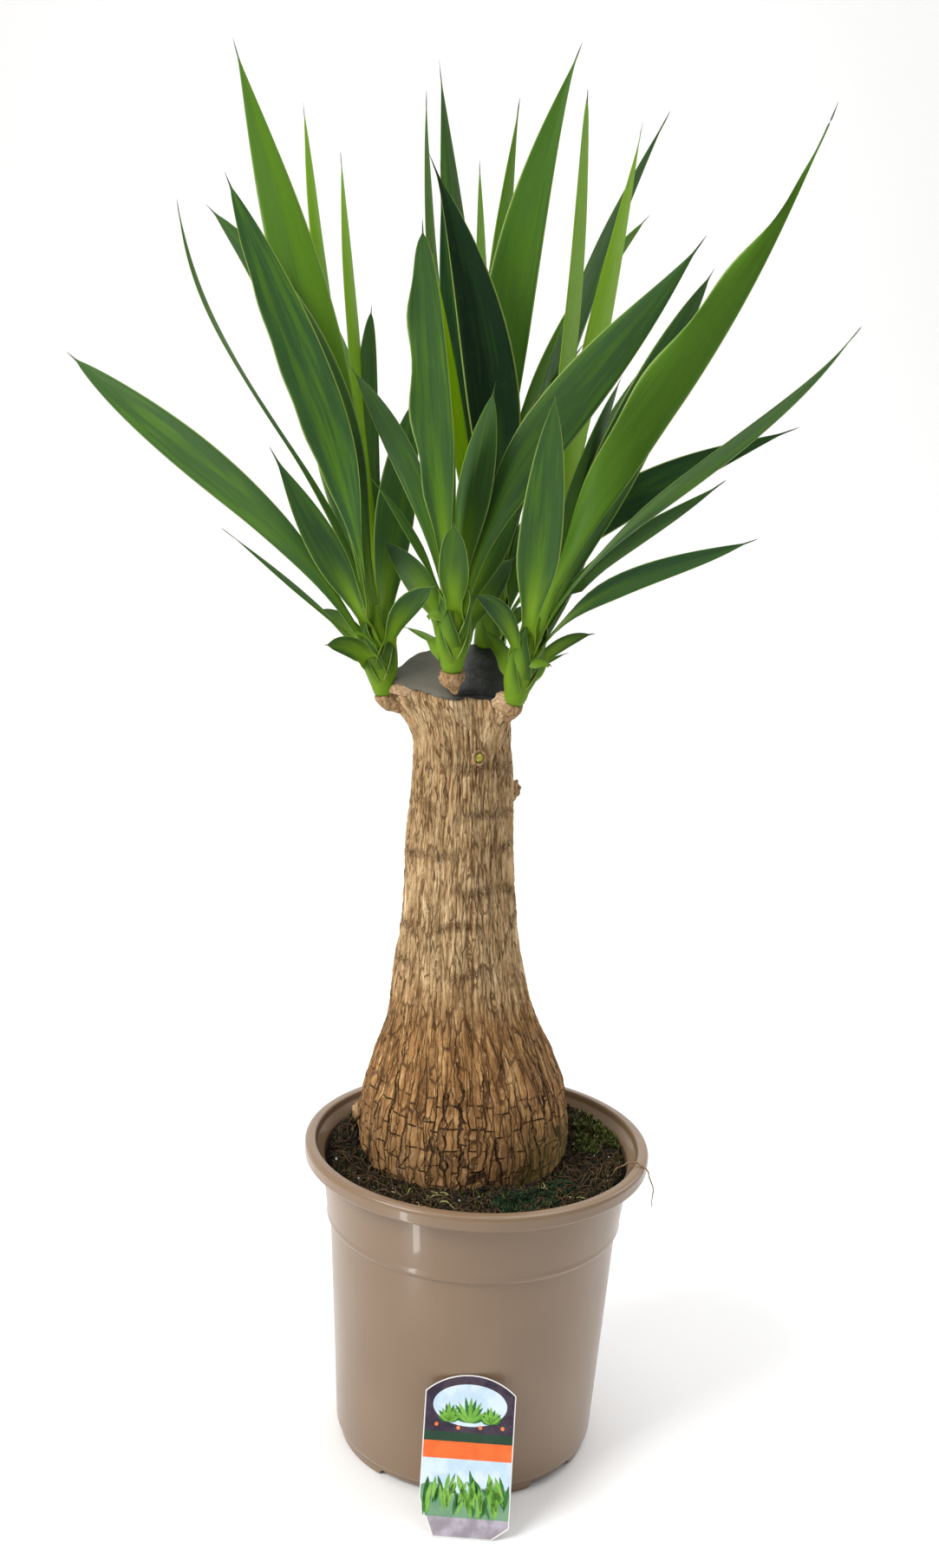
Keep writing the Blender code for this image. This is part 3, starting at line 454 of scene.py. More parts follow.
def grid_faces(rows, columns, around=False):
    """faces between rows of points, and from the last column to the first if they go around"""
    faces = []
    for low in range(0, (rows - 1) * columns, columns):
        high = low + columns
        for j in range(columns if around else columns - 1):
            k = (j + 1) % columns
            faces.append((low + j, low + k, high + k, high + j))
    return faces


def ring_faces(rings, sides, floor=False):
    """faces of a stack of rings, closed on top and, where asked, below"""
    faces = grid_faces(rings, sides, around=True)
    if floor:
        faces.append(tuple(reversed(range(sides))))
    faces.append(tuple(range((rings - 1) * sides, rings * sides)))
    return faces


def flipped(faces):
    return [tuple(reversed(face)) for face in faces]


def join(points, faces, more, skin):
    """adds one small shape's points and faces to a larger one"""
    start = len(points)
    points += more
    faces += [tuple(start + v for v in face) for face in skin]


class Finish:
    """short calls that build one material's nodes"""

    def __init__(self, name):
        self.material = bpy.data.materials.new(name)
        self.material.use_nodes = True
        self.tree = self.material.node_tree
        self.shader = self.tree.nodes["Principled BSDF"]

    def add(self, kind, inputs=(), **settings):
        node = self.tree.nodes.new("ShaderNode" + kind)
        for key, value in settings.items():
            setattr(node, key, value)
        for key, value in dict(inputs).items():
            self.give(node.inputs[key], value)
        return node

    def give(self, socket, value):
        if isinstance(value, bpy.types.NodeSocket):
            self.tree.links.new(value, socket)
        elif isinstance(value, tuple) and len(value) == 3 and len(socket.default_value) == 4:
            socket.default_value = (*value, 1.0)
        else:
            socket.default_value = value

    def set(self, **values):
        for key, value in values.items():
            self.give(self.shader.inputs[key.replace("_", " ")], value)

    def math(self, operation, a, b=0.0):
        return self.add("Math", {0: a, 1: b}, operation=operation).outputs[0]

    def times(self, a, b):
        return self.math("MULTIPLY", a, b)

    def plus(self, a, b, share):
        """a, and a share of b on top of it"""
        return self.math("ADD", a, self.times(b, share))

    def mix(self, factor, a, b):
        return self.add("Mix", {0: factor, 6: a, 7: b}, data_type="RGBA").outputs[2]

    def span(self, value, low, high, to_low=0.0, to_high=1.0):
        """value from low..high taken to to_low..to_high, smoothly and clamped"""
        node = self.add("MapRange", {"Value": value, "From Min": low, "From Max": high,
                                     "To Min": to_low, "To Max": to_high},
                        interpolation_type="SMOOTHSTEP")
        return node.outputs[0]

    def tint(self, tone, colour, strength, value, low, high):
        """tone taken towards a colour, at up to a strength, where a value runs from low to high"""
        return self.mix(self.times(self.span(value, low, high), strength), tone, colour)

    def ramp(self, factor, *stops):
        node = self.add("ValToRGB", {"Fac": factor})
        marks = node.color_ramp.elements
        while len(marks) < len(stops):
            marks.new(0.5)
        for mark, (place, *colour) in zip(marks, stops):
            mark.position = place
            mark.color = (*colour, 1.0)
        return node.outputs["Color"]

    def values(self, name):
        return self.add("Attribute", attribute_name=name).outputs["Vector"]

    def split(self, vector):
        return self.add("SeparateXYZ", {0: vector}).outputs

    def stretch(self, vector, *scale):
        return self.add("Mapping", {"Vector": vector, "Scale": scale}).outputs[0]

    def noise(self, vector, scale, detail=3.0, rough=0.55, warp=0.0, kind="Fac"):
        node = self.add("TexNoise", {"Vector": vector, "Scale": scale, "Detail": detail,
                                     "Roughness": rough, "Distortion": warp})
        return node.outputs[kind]

    def cells(self, vector, scale, feature="F1", kind="Distance"):
        return self.add("TexVoronoi", {"Vector": vector, "Scale": scale}, feature=feature).outputs[kind]

    def bump(self, height, distance, strength=1.0, under=None):
        node = self.add("Bump", {"Height": height, "Distance": distance, "Strength": strength})
        if under is not None:
            self.give(node.inputs["Normal"], under)
        return node.outputs["Normal"]

    def object_coords(self):
        return self.add("TexCoord").outputs["Object"]


def plain_finish(name, low, high, roughness=0.9, scale=300.0):
    """a matt grainy material between two tones"""
    finish = Finish(name)
    grain = finish.noise(finish.object_coords(), scale, 4.0, 0.65)
    finish.set(Base_Color=finish.mix(finish.span(grain, 0.35, 0.65), low, high), Roughness=roughness,
               Specular_IOR_Level=0.25)
    finish.set(Normal=finish.bump(grain, 0.0006, 0.7))
    return finish.material


# Camera, light and floor

def make_camera():
    down, yaw, roll = CAMERA_DOWN, CAMERA_YAW, CAMERA_ROLL
    forward = Vector((sin(yaw) * cos(down), cos(yaw) * cos(down), -sin(down)))
    right = forward.cross(Vector((0, 0, 1))).normalized()
    up = right.cross(forward)
    x_axis = right * cos(roll) + up * sin(roll)
    y_axis = up * cos(roll) - right * sin(roll)
    turn = Matrix((x_axis, y_axis, -forward)).transposed()
    data = bpy.data.cameras.new("camera")
    data.sensor_fit = "VERTICAL"
    data.sensor_height = SENSOR
    data.lens = LENS
    data.clip_start = 0.01
    camera = placed("camera", data)
    camera.matrix_world = Matrix.Translation(CAMERA_AT) @ turn.to_4x4()
    bpy.context.scene.camera = camera


def area_light(name, place, aim, size, power, colour=(1.0, 1.0, 1.0)):
    data = bpy.data.lights.new(name, "AREA")
    data.shape = "RECTANGLE"
    data.size, data.size_y = size
    data.energy = power
    data.color = colour
    lamp = placed(name, data)
    lamp.location = place
    lamp.rotation_euler = (Vector(aim) - Vector(place)).to_track_quat("-Z", "Y").to_euler()
    return lamp


def make_light():
    world = bpy.data.worlds.new("studio")
    bpy.context.scene.world = world
    world.use_nodes = True
    sky = world.node_tree.nodes["Background"]
    sky.inputs["Color"].default_value = (1.0, 1.0, 1.0, 1.0)
    sky.inputs["Strength"].default_value = 0.42
    bpy.context.scene.view_settings.view_transform = "Standard"
    area_light("key", (-1.7, -1.3, 2.0), (0.0, 0.0, 0.45), (1.3, 1.3), 70.0, (1.0, 0.985, 0.96))
    area_light("top", (0.1, 0.4, 2.9), (0.0, 0.1, 0.0), (2.6, 2.6), 52.0)
    area_light("rim", (1.7, 0.9, 1.3), (0.0, 0.0, 0.4), (0.9, 1.6), 14.0)
    streak = area_light("streak", (-0.142, -0.214, 0.11), (-0.04, -0.11, 0.21), (0.018, 0.095), 0.062)
    streak.visible_camera = False
    streak.visible_diffuse = False


def make_floor():
    """a pale floor that bends up into a wall behind the plant"""
    finish = Finish("floor")
    finish.set(Base_Color=(0.9, 0.9, 0.9), Roughness=0.9)
    rows = [(FLOOR_FRONT, 0.0), (FLOOR_BACK, 0.0)]
    for i in range(1, FLOOR_STEPS + 1):
        turn = pi / 2 * i / FLOOR_STEPS
        rows.append((FLOOR_BACK + FLOOR_BEND * sin(turn), FLOOR_BEND * (1.0 - cos(turn))))
    rows.append((FLOOR_BACK + FLOOR_BEND, FLOOR_TOP))
    points = [(x, y, z) for y, z in rows for x in (-FLOOR_HALF, FLOOR_HALF)]
    floor = mesh_object("floor", (points, grid_faces(len(rows), 2)), [finish.material])
    floor.location.z = -FLOOR_BELOW


# Pot

def pot_profile():
    """radius and height from the floor's middle, up the inside, over the rim and down outside"""
    top, lip = POT_HEIGHT, POT_HEIGHT - LIP_HEIGHT
    inner_foot, foot_in = BODY_FOOT_RADIUS - WALL, FOOT_RADIUS - FOOT_WIDTH
    floor = CHANNEL_Z + WALL
    rim, mouth, collar, step = RIM_RADIUS, RIM_OPENING, COLLAR_TOP_RADIUS, STEP_RADIUS
    return [
        (0.0, WALL), (CHANNEL_INNER - 0.003, WALL), (CHANNEL_INNER + 0.002, floor),
        (inner_foot - 0.004, floor), (inner_foot, floor + 0.004),
        (BODY_TOP_RADIUS - WALL, STEP_Z - 0.002), (step - WALL, STEP_Z + 0.004),
        (collar - WALL, lip), (mouth - 0.0012, top - 0.0045),
        (mouth, top - 0.0008), (mouth + 0.0008, top),
        (rim - 0.003, top - 0.0002), (rim - 0.0009, top - 0.001),
        (rim, top - 0.003), (rim - 0.0002, lip + 0.0012),
        (rim - 0.0012, lip), (rim - 0.003, lip + 0.0003),
        (collar + 0.0016, lip + 0.0006), (collar, lip - 0.0018),
        (step + 0.0006, STEP_Z + 0.0042), (step + 0.0008, STEP_Z + 0.0008),
        (step, STEP_Z - 0.001), (BODY_TOP_RADIUS, STEP_Z - 0.0024),
        (BODY_FOOT_RADIUS, FOOT_HEIGHT + 0.0036), (BODY_FOOT_RADIUS - 0.0014, FOOT_HEIGHT + 0.0008),
        (FOOT_RADIUS - 0.0006, FOOT_HEIGHT), (FOOT_RADIUS, FOOT_HEIGHT - 0.001),
        (FOOT_RADIUS - 0.0006, 0.0), (foot_in, 0.0), (foot_in - 0.0008, CHANNEL_Z),
        (CHANNEL_INNER + 0.002, CHANNEL_Z), (CHANNEL_INNER - 0.001, 0.0), (0.0, 0.0),
    ]


def wall_radius(z):
    """the pot's inner radius at a height"""
    radii, heights = zip(*pot_profile()[4:10])
    return float(np.interp(z, heights, radii))


def rounded(outline):
    """the outline with a small round at each corner, held crisp by one more point on each side"""
    smooth = [outline[0]]
    for before, at, after in zip(outline, outline[1:], outline[2:]):
        a, b, c = Vector(before), Vector(at), Vector(after)
        behind = (a - b).normalized() * min(CORNER_REACH, (a - b).length * CORNER_SHARE)
        beyond = (c - b).normalized() * min(CORNER_REACH, (c - b).length * CORNER_SHARE)
        smooth += [tuple(b + step) for step in (behind * CORNER_HOLD, behind, (behind + beyond) / 4,
                                                beyond, beyond * CORNER_HOLD)]
    smooth.append(outline[-1])
    return smooth


def in_notch(turn):
    """how deep a heading lies in a foot notch, from 0 outside to 1"""
    half = NOTCH_WIDTH / 2 / FOOT_RADIUS
    best = 0.0
    for i in range(FOOT_NOTCHES):
        away = away_from(turn, FIRST_NOTCH + 2 * pi * i / FOOT_NOTCHES)
        best = max(best, 1.0 - smooth_step(half - 0.02, half + 0.02, abs(away)))
    return best


def pot_finish():
    finish = Finish("pot_plastic")
    coords = finish.object_coords()
    cloud = finish.noise(coords, 7.0, 2.0)
    satin = finish.noise(coords, 9.0, 2.0, 0.5)
    tone = finish.mix(finish.span(cloud, 0.35, 0.65), (0.198, 0.127, 0.073), (0.226, 0.149, 0.088))
    finish.set(Base_Color=tone, Coat_Weight=0.35, Coat_Roughness=0.05, Specular_IOR_Level=0.42)
    finish.set(Roughness=finish.span(satin, 0.3, 0.7, 0.31, 0.37))
    wave = finish.noise(finish.stretch(coords, 1.0, 1.0, 0.4), 14.0, 1.0)
    finish.set(Normal=finish.bump(wave, 0.001, 0.15))
    return finish.material


def make_pot():
    outline = rounded(pot_profile())[1:-1]
    points = []
    for r, z in outline:
        notched = z < NOTCH_HEIGHT and r > FOOT_RADIUS - FOOT_WIDTH - 0.0006
        for turn in headings(POT_SIDES):
            height = lerp(z, NOTCH_HEIGHT, in_notch(turn)) if notched else z
            points.append((r * cos(turn), r * sin(turn), height))
    faces = flipped(grid_faces(len(outline), POT_SIDES, around=True))
    inside, under = len(points), len(points) + 1
    points += [(0.0, 0.0, WALL), (0.0, 0.0, 0.0)]
    last = (len(outline) - 1) * POT_SIDES
    for j in range(POT_SIDES):
        k = (j + 1) % POT_SIDES
        faces += [(inside, j, k), (under, last + k, last + j)]
    piece("pot_body", (points, faces), [pot_finish()], "pot", replaces=("pot",))


# Trunk

def trunk_centre(z):
    return smooth_rows(TRUNK_ROWS, z, 2)


def cut_rise(y, z):
    """how far the slant of the cut lifts or lowers a point near the top"""
    return smooth_step(0.5, CUT_CENTRE_Z, z) * CUT_SLOPE * (y - TRUNK_Y)


def flare(turn, z):
    """the trunk swells out under the shoots at its sides"""
    total = 0.0
    for name, reach, spread, low in FLARES:
        foot = SHOOTS[name].foot
        heading = atan2(foot.y - TRUNK_Y, foot.x - trunk_centre(0.53))
        away = away_from(turn, heading)
        total += reach * exp(-(away / spread)**2) * smooth_step(low, 0.535, z)**1.4
    return total


def fissures(turn, z):
    """depth of the finer upright fissures, from 0 to 1"""
    sharp = 1.0 - min(abs(ring_noise(turn, 13.0, z * 22.0)) * 5.0, 1.0)
    thin = 1.0 - min(abs(ring_noise(turn, 27.0, z * 42.0 + 7.0)) * 4.5, 1.0)
    patch = ring_noise(turn, 2.1, z * 18.0 + 4.0)
    return min(1.0, sharp * (0.75 + 0.5 * patch) + 0.45 * thin)


def bands(turn, z):
    """old leaf scars: rough level bands on the upper trunk"""
    total = 0.0
    for height, tilt, phase in BANDS:
        middle = height + tilt * sin(turn + phase) + 0.004 * ring_noise(turn, 2.5, height * 90)
        strength = smooth_step(-0.25, 0.35, ring_noise(turn, 1.4, height * 40))
        total = max(total, strength * (1.0 - smooth_step(0.001, 0.0055, abs(z - middle))))
    return total


def bark_at(turn, z):
    """the bark's push out of the smooth trunk, with its fissure and band strengths"""
    bulb = 1.0 - smooth_step(BULB_TOP - 0.03, BULB_TOP + 0.03, z)
    split, band = fissures(turn, z), bands(turn, z)
    push = 0.0016 * ring_noise(turn, 1.6, z * 22 + 5.0) + 0.0013 * ring_noise(turn, 6.0, z * 10.0)
    push += 0.0005 * ring_noise(turn, 40.0, z * 260.0) - 0.0015 * split * (1.0 - 0.75 * bulb)
    push += 0.0008 * band * ring_noise(turn, 22.0, z * 500.0)
    push += 0.0012 * bulb * ring_noise(turn, 9.0, z * 55.0)
    return push, split, band


def trunk_point(turn, z, grow=0.0, lift=0.0):
    radius = smooth_rows(TRUNK_ROWS, z, 1) + flare(turn, z) + grow
    x = trunk_centre(z) + radius * cos(turn)
    y = TRUNK_Y + radius * sin(turn)
    return Vector((x, y, z + cut_rise(y, z) + lift))


def bark_ground(finish, down, streak, fine, blotch, height, form):
    """the bark's streaky tone, paler above and browner below, before its cracks"""
    upper = finish.ramp(streak, (0.32, 0.18, 0.1, 0.04), (0.46, 0.415, 0.262, 0.124),
                        (0.57, 0.54, 0.378, 0.2), (0.68, 0.74, 0.57, 0.345))
    lower = finish.ramp(streak, (0.32, 0.09, 0.041, 0.013), (0.46, 0.232, 0.113, 0.039),
                        (0.57, 0.365, 0.195, 0.072), (0.68, 0.57, 0.345, 0.15))
    tone = finish.mix(down, upper, lower)
    for colour, strength, value, low, high in (
            ((0.23, 0.13, 0.058), 0.5, blotch, 0.52, 0.7),
            ((0.48, 0.345, 0.19), 0.3, blotch, 0.46, 0.3),
            ((0.095, 0.05, 0.019), finish.times(form[1], 0.95), fine, 0.44, 0.52),
            ((0.09, 0.047, 0.018), 0.5, fine, 0.48, 0.36),
            ((0.76, 0.6, 0.375), finish.span(down, 0.0, 1.0, 0.52, 0.3), fine, 0.57, 0.65),
            ((0.085, 0.043, 0.016), finish.span(down, 0.3, 0.9, 0.55, 0.12), form[0], 0.55, 0.95),
            ((0.43, 0.245, 0.105), 0.34, height, 0.272, 0.215)):
        tone = finish.tint(tone, colour, strength, value, low, high)
    return tone


def bark_cracks(finish, bent, streak, blotch, height):
    """the dark cracks between the bulb's plates: upright ones, and level ones in broken rows"""
    span, times = finish.span, finish.times
    tall = finish.stretch(bent, 1.0, 1.0, 0.06)
    column = finish.cells(tall, 140.0, "DISTANCE_TO_EDGE")
    shuffle = finish.cells(tall, 140.0, kind="Color")
    rows = finish.plus(times(finish.split(bent)[2], 68.0), finish.split(shuffle)[0], 7.0)
    level = finish.math("ABSOLUTE", finish.math("SUBTRACT", finish.math("FRACT", rows), 0.5))
    wet = finish.plus(height, blotch, 0.04)
    upright = times(span(column, 0.042, 0.012), span(wet, 0.345, 0.29))
    upright = times(upright, span(blotch, 0.34, 0.5, 0.55, 1.0))
    across = times(span(level, 0.048, 0.016), span(wet, 0.304, 0.28))
    across = times(across, span(streak, 0.4, 0.52))
    return finish.math("MAXIMUM", upright, across)


def bark_finish():
    finish = Finish("bark")
    mix, span, times, tint = finish.mix, finish.span, finish.times, finish.tint
    form = finish.split(finish.values("bark"))
    place = finish.values("unrolled")
    across_trunk, _, height = finish.split(finish.object_coords())
    streak = finish.noise(finish.stretch(place, 1.0, 1.0, 0.16), 260.0, 5.0, 0.68, 0.5)
    fine = finish.noise(finish.stretch(place, 1.0, 1.0, 0.3), 700.0, 4.0, 0.7)
    blotch = finish.noise(finish.stretch(place, 1.0, 1.0, 0.6), 34.0, 4.0, 0.6, 0.6)
    crumb = finish.noise(place, 900.0, 3.0, 0.7)
    down = span(finish.plus(height, blotch, 0.06), 0.392, 0.33)
    tone = bark_ground(finish, down, streak, fine, blotch, height, form)
    wander = finish.noise(place, 90.0, 3.0, 0.5, kind="Color")
    bent = finish.add("Mix", {0: 0.0035, 4: place, 5: wander}, data_type="VECTOR").outputs[1]
    cork = finish.cells(finish.stretch(bent, 1.0, 1.0, 0.12), 290.0, "DISTANCE_TO_EDGE")
    slit = times(span(cork, 0.08, 0.012), span(blotch, 0.36, 0.54))
    slit = finish.math("MAXIMUM", slit, times(down, span(cork, 0.052, 0.01)))
    gloom = mix(down, (0.11, 0.056, 0.02), (0.06, 0.028, 0.01))
    tone = mix(times(slit, 0.8), tone, gloom)
    crack = bark_cracks(finish, bent, streak, blotch, height)
    tone = mix(times(crack, 0.9), tone, (0.02, 0.01, 0.005))
    algae = times(span(height, 0.256, 0.212), span(blotch, 0.36, 0.56, 0.3, 0.75))
    tone = tint(tone, (0.105, 0.115, 0.018), algae, across_trunk, 0.02, 0.048)
    tone = tint(tone, (0.06, 0.042, 0.022), 0.15, height, 0.214, 0.2)
    finish.set(Base_Color=tone, Roughness=0.92, Specular_IOR_Level=0.15)
    relief = None
    for value, distance, strength in (
            (finish.math("SUBTRACT", 1.0, crack), 0.002, 1.0),
            (finish.math("SUBTRACT", 1.0, slit), 0.001, 0.8),
            (streak, 0.0014, 0.9), (fine, 0.0006, 0.8), (crumb, 0.0003, 0.5)):
        relief = finish.bump(value, distance, strength, relief)
    finish.set(Normal=relief)
    return finish.material


def make_trunk():
    """the bark's rings, and three more under the wax that close the top"""
    top = CUT_CENTRE_Z - 0.0015
    points, unrolled, forms = [], [], []
    for share in shares(TRUNK_RINGS):
        z = lerp(TRUNK_LOW, top, share)
        worn = 0.0025 * smooth_step(CUT_CENTRE_Z - 0.006, CUT_CENTRE_Z, z)
        for turn in headings(TRUNK_SIDES):
            push, split, band = bark_at(turn, z)
            points.append(trunk_point(turn, z, grow=push - worn))
            unrolled.append((UNROLLED_RADIUS * cos(turn), UNROLLED_RADIUS * sin(turn), z))
            forms.append((split, band, 0.0))
    for grow, lift in TRUNK_TOP_ROWS:
        for turn in headings(TRUNK_SIDES):
            point = trunk_point(turn, CUT_CENTRE_Z, grow=grow, lift=lift)
            points.append(point)
            unrolled.append((point.x, point.y, CUT_CENTRE_Z - grow))
            forms.append((0.5, 0.0, 0.0))
    faces = ring_faces(TRUNK_RINGS + len(TRUNK_TOP_ROWS), TRUNK_SIDES)
    made = piece("trunk_bark", (points, faces), [bark_finish()], "bark", replaces=("trunk",))
    add_values(made, "unrolled", unrolled)
    add_values(made, "bark", forms)


def stub_finish():
    finish = Finish("stub_wood")
    coords = finish.object_coords()
    grain = finish.noise(finish.stretch(coords, 1.0, 1.0, 0.4), 420.0, 5.0, 0.7, 0.6)
    tone = finish.ramp(grain, (0.32, 0.075, 0.038, 0.015), (0.46, 0.26, 0.15, 0.068),
                       (0.58, 0.43, 0.28, 0.145), (0.7, 0.6, 0.44, 0.26))
    tone = finish.tint(tone, (0.18, 0.095, 0.045), 0.6, finish.noise(coords, 130.0), 0.55, 0.7)
    finish.set(Base_Color=tone, Roughness=0.85, Specular_IOR_Level=0.25)
    finish.set(Normal=finish.bump(grain, 0.0012, 0.8))
    return finish.material


def make_stubs():
    """bent woody pegs that carry the shoots, closed to a point inside the shoots' feet"""
    finish = stub_finish()
    for k, (name, shoot) in enumerate(SHOOTS.items()):
        foot, root = shoot.foot, shoot.root
        steps = shares(STUB_RINGS)
        path = [bezier(root, root.lerp(foot, 0.55), foot - shoot.axis * 0.008, foot, t) for t in steps]
        first = 0.3 if name == "front" else 1.1
        points = []
        for i, t in enumerate(steps):
            axes = cross_axes(neighbour_direction(path, i))
            width = shoot.stub_radius * lerp(first, 1.0, smooth_step(0.0, 0.8, t))
            for turn in headings(STUB_SIDES):
                spot = Vector((3.0 * cos(turn) + 11.0 * k, 3.0 * sin(turn), i * 0.8))
                reach = width * (1.0 + 0.16 * noise.noise(spot))
                points.append(path[i] + reach * around(turn, *axes))
        points += [foot + shoot.axis * 0.0004] * STUB_SIDES
        piece("stub_" + name, (points, ring_faces(STUB_RINGS + 1, STUB_SIDES)), [finish], "bark")


def ball(centre, size, detail, rough, seed, scale):
    """a lumpy closed ball as points and faces"""
    rings, sides = detail
    centre, size = Vector(centre), Vector(size)
    points = [centre - Vector((0.0, 0.0, size.z))]
    for i in range(1, rings):
        polar = pi * i / rings
        for turn in headings(sides):
            level = sin(polar)
            spot = Vector((level * cos(turn), level * sin(turn), -cos(polar)))
            reach = 1.0 + rough * noise.noise(spot * scale + Vector((seed, seed * 0.7, 0.0)))
            points.append(centre + spot * size * reach)
    points.append(centre + Vector((0.0, 0.0, size.z)))
    top, last = len(points) - 1, len(points) - 1 - sides
    faces = [(0, 1 + (j + 1) % sides, 1 + j) for j in range(sides)]
    faces += [tuple(1 + v for v in face) for face in grid_faces(rings - 1, sides, around=True)]
    faces += [(top, last + j, last + (j + 1) % sides) for j in range(sides)]
    return points, faces


def make_knobs():
    """a knob, a bump and a spike on the trunk, its bud, and the cream faces of two cuts"""
    finish = stub_finish()
    for k, (name, degrees, z, size) in enumerate(KNOBS):
        shape = ball(trunk_point(radians(degrees), z), size, (14, 20), 0.45, 3.0 * k, 2.2)
        piece(name, shape, [finish], "bark")
    make_bud(finish)
    cream = plain_finish("cut_wood", (0.3, 0.18, 0.095), (0.64, 0.45, 0.27), 0.8, 700.0)
    for name, centre, size in CUTS:
        piece(name, ball(centre, size, (20, 30), 0.3, 9.0, 1.2), [cream], "bark")


def make_bud(finish):
    """a dormant bud: a low bark ring round a small yellow-green eye"""
    outward = Vector((cos(BUD_HEADING), sin(BUD_HEADING), 0.0))
    side = Vector((-outward.y, outward.x, 0.0))
    middle = trunk_point(BUD_HEADING, BUD_Z)
    rings, sides = BUD_RING
    points = []
    for turn in headings(rings):
        spoke = side * cos(turn) * 0.004 + Vector((0.0, 0.0, 0.0046 * sin(turn)))
        thick = 0.0011 * (1.0 + 0.5 * noise.noise(spoke * 900.0))
        points += [middle + spoke + (spoke.normalized() * cos(a) + outward * sin(a)) * thick
                   for a in headings(sides)]
    faces = [tuple(v % len(points) for v in face) for face in grid_faces(rings + 1, sides, around=True)]
    piece("bud_ring", (points, faces), [finish], "bark")
    eye = plain_finish("bud_eye", (0.2, 0.19, 0.02), (0.48, 0.42, 0.07), 0.6, 500.0)
    piece("bud_eye", ball(middle, (0.0026, 0.0018, 0.003), (12, 16), 0.3, 5.0, 2.0), [eye], "bark")


# Wax

def wax_finish():
    finish = Finish("wax")
    coords = finish.object_coords()
    cloud = finish.noise(finish.stretch(coords, 1.0, 0.8, 0.5), 42.0, 4.0, 0.6, 0.8)
    streak = finish.noise(finish.stretch(coords, 1.0, 0.25, 0.25), 420.0, 4.0, 0.7)
    # partly painted shading: the wax runs from light grey on the left to near black on the right, partly its
    # own colour and partly a painted shade gradient across the cap
    side = finish.span(finish.plus(finish.split(coords)[0], cloud, 0.02), -0.03, -0.008)
    tone = finish.mix(side, (0.125, 0.118, 0.092), (0.004, 0.004, 0.0045))
    tone = finish.tint(tone, (0.11, 0.105, 0.09), 0.35, streak, 0.55, 0.75)
    tone = finish.tint(tone, (0.13, 0.125, 0.12), 0.4, cloud, 0.64, 0.74)
    finish.set(Base_Color=tone, Specular_IOR_Level=0.2)
    finish.set(Roughness=finish.span(side, 0.0, 1.0, 0.75, 0.36))
    relief = finish.bump(cloud, 0.0012, 0.6)
    finish.set(Normal=finish.bump(streak, 0.0003, 0.5, relief))
    return finish.material


def make_wax():
    points = []
    for grow, lift, loose in WAX_ROWS:
        for turn in headings(WAX_SIDES):
            drip = 1.0 + 1.1 * ring_noise(turn, 2.2, 1.0) + 0.8 * ring_noise(turn, 7.0, 4.0)
            sag = lift * lerp(1.0, drip, loose)
            point = trunk_point(turn, CUT_CENTRE_Z - 0.0002, grow=grow - 0.001, lift=sag)
            point.z += 0.0007 * noise.noise(point * 90.0) + 0.0003 * noise.noise(point * 300.0)
            points.append(point)
    faces = ring_faces(len(WAX_ROWS), WAX_SIDES)
    piece("wax_cap", (points, faces), [wax_finish()], "wax", replaces=("wax_seal",))


# Leaves

def blade_width(t, form):
    """the blade's width along its length, as a share of its widest"""
    widest, point = FORMS[form]
    spread = ROOT_WIDTH + (1.0 - ROOT_WIDTH) * smooth_step(0.06, widest, t)
    past = max(t - widest, 0.0) / (1.0 - widest)
    return spread * (1.0 - past**2)**point


def blade_fold(t):
    """how steeply each half of the blade rises from the midrib"""
    return FOLD_TIP + (FOLD_ROOT - FOLD_TIP) * (1.0 - smooth_step(0.0, 0.4, t))


def steepness(shoot, leaf):
    """how nearly a leaf points along its shoot, from 0 to 1"""
    return max((leaf.tip - shoot.foot).normalized().dot(shoot.axis), 0.0)**4


def leaf_path(shoot, leaf):
    """a leaf's four Bezier knots, from its root in the stem to its tip, and its side direction"""
    axis, tip = shoot.axis, leaf.tip
    root = shoot.foot + axis * (LOWEST_ROOT + (HIGHEST_ROOT - LOWEST_ROOT) * steepness(shoot, leaf))
    outward = tip - root
    outward = (outward - axis * outward.dot(axis)).normalized()
    root += outward * ROOT_OUT
    chord = tip - root
    along = chord.normalized()
    inward = (axis - along * axis.dot(along)).normalized()
    right = Vector((1.0, 0.0, 0.0))
    right = (right - along * right.dot(along)).normalized()
    bulge = (inward * leaf.arch + right * leaf.sway) * (4 / 3)
    knot_a = root + chord / 3 + bulge * chord.length
    knot_b = root + chord * 2 / 3 + (bulge - inward * leaf.hook) * chord.length
    return (root, knot_a, knot_b, tip), axis.cross(outward)


def leaf_frames(shoot, leaf, stations):
    """share, point, tangent, side and upper-face direction along a leaf, closer towards its tip"""
    (a, b, c, d), spread = leaf_path(shoot, leaf)
    frames = []
    for step in shares(stations):
        s = (1.0 - step)**STATION_POWER
        t = 1.0 - s
        tangent = ((b - a) * s * s + (c - b) * 2 * s * t + (d - c) * t * t).normalized()
        side = (spread - tangent * spread.dot(tangent)).normalized()
        upper = side.cross(tangent)
        if leaf.facing is not None:
            upper = turned_face(upper, tangent, leaf.facing, smooth_step(0.04, 0.45, t))
            side = tangent.cross(upper)
        frames.append((t, bezier(a, b, c, d, t), tangent, side, upper))
    return frames


def turned_face(upper, tangent, facing, share):
    """the upper-face direction, turned about the leaf by a share of the way to its facing"""
    heading = radians(facing)
    wanted = Vector((sin(heading), -cos(heading), 0.0))
    wanted = (wanted - tangent * wanted.dot(tangent)).normalized()
    if wanted.dot(upper) < 0.0:
        wanted = -wanted
    angle = atan2(tangent.dot(upper.cross(wanted)), upper.dot(wanted)) * share
    return upper * cos(angle) + tangent.cross(upper) * sin(angle)


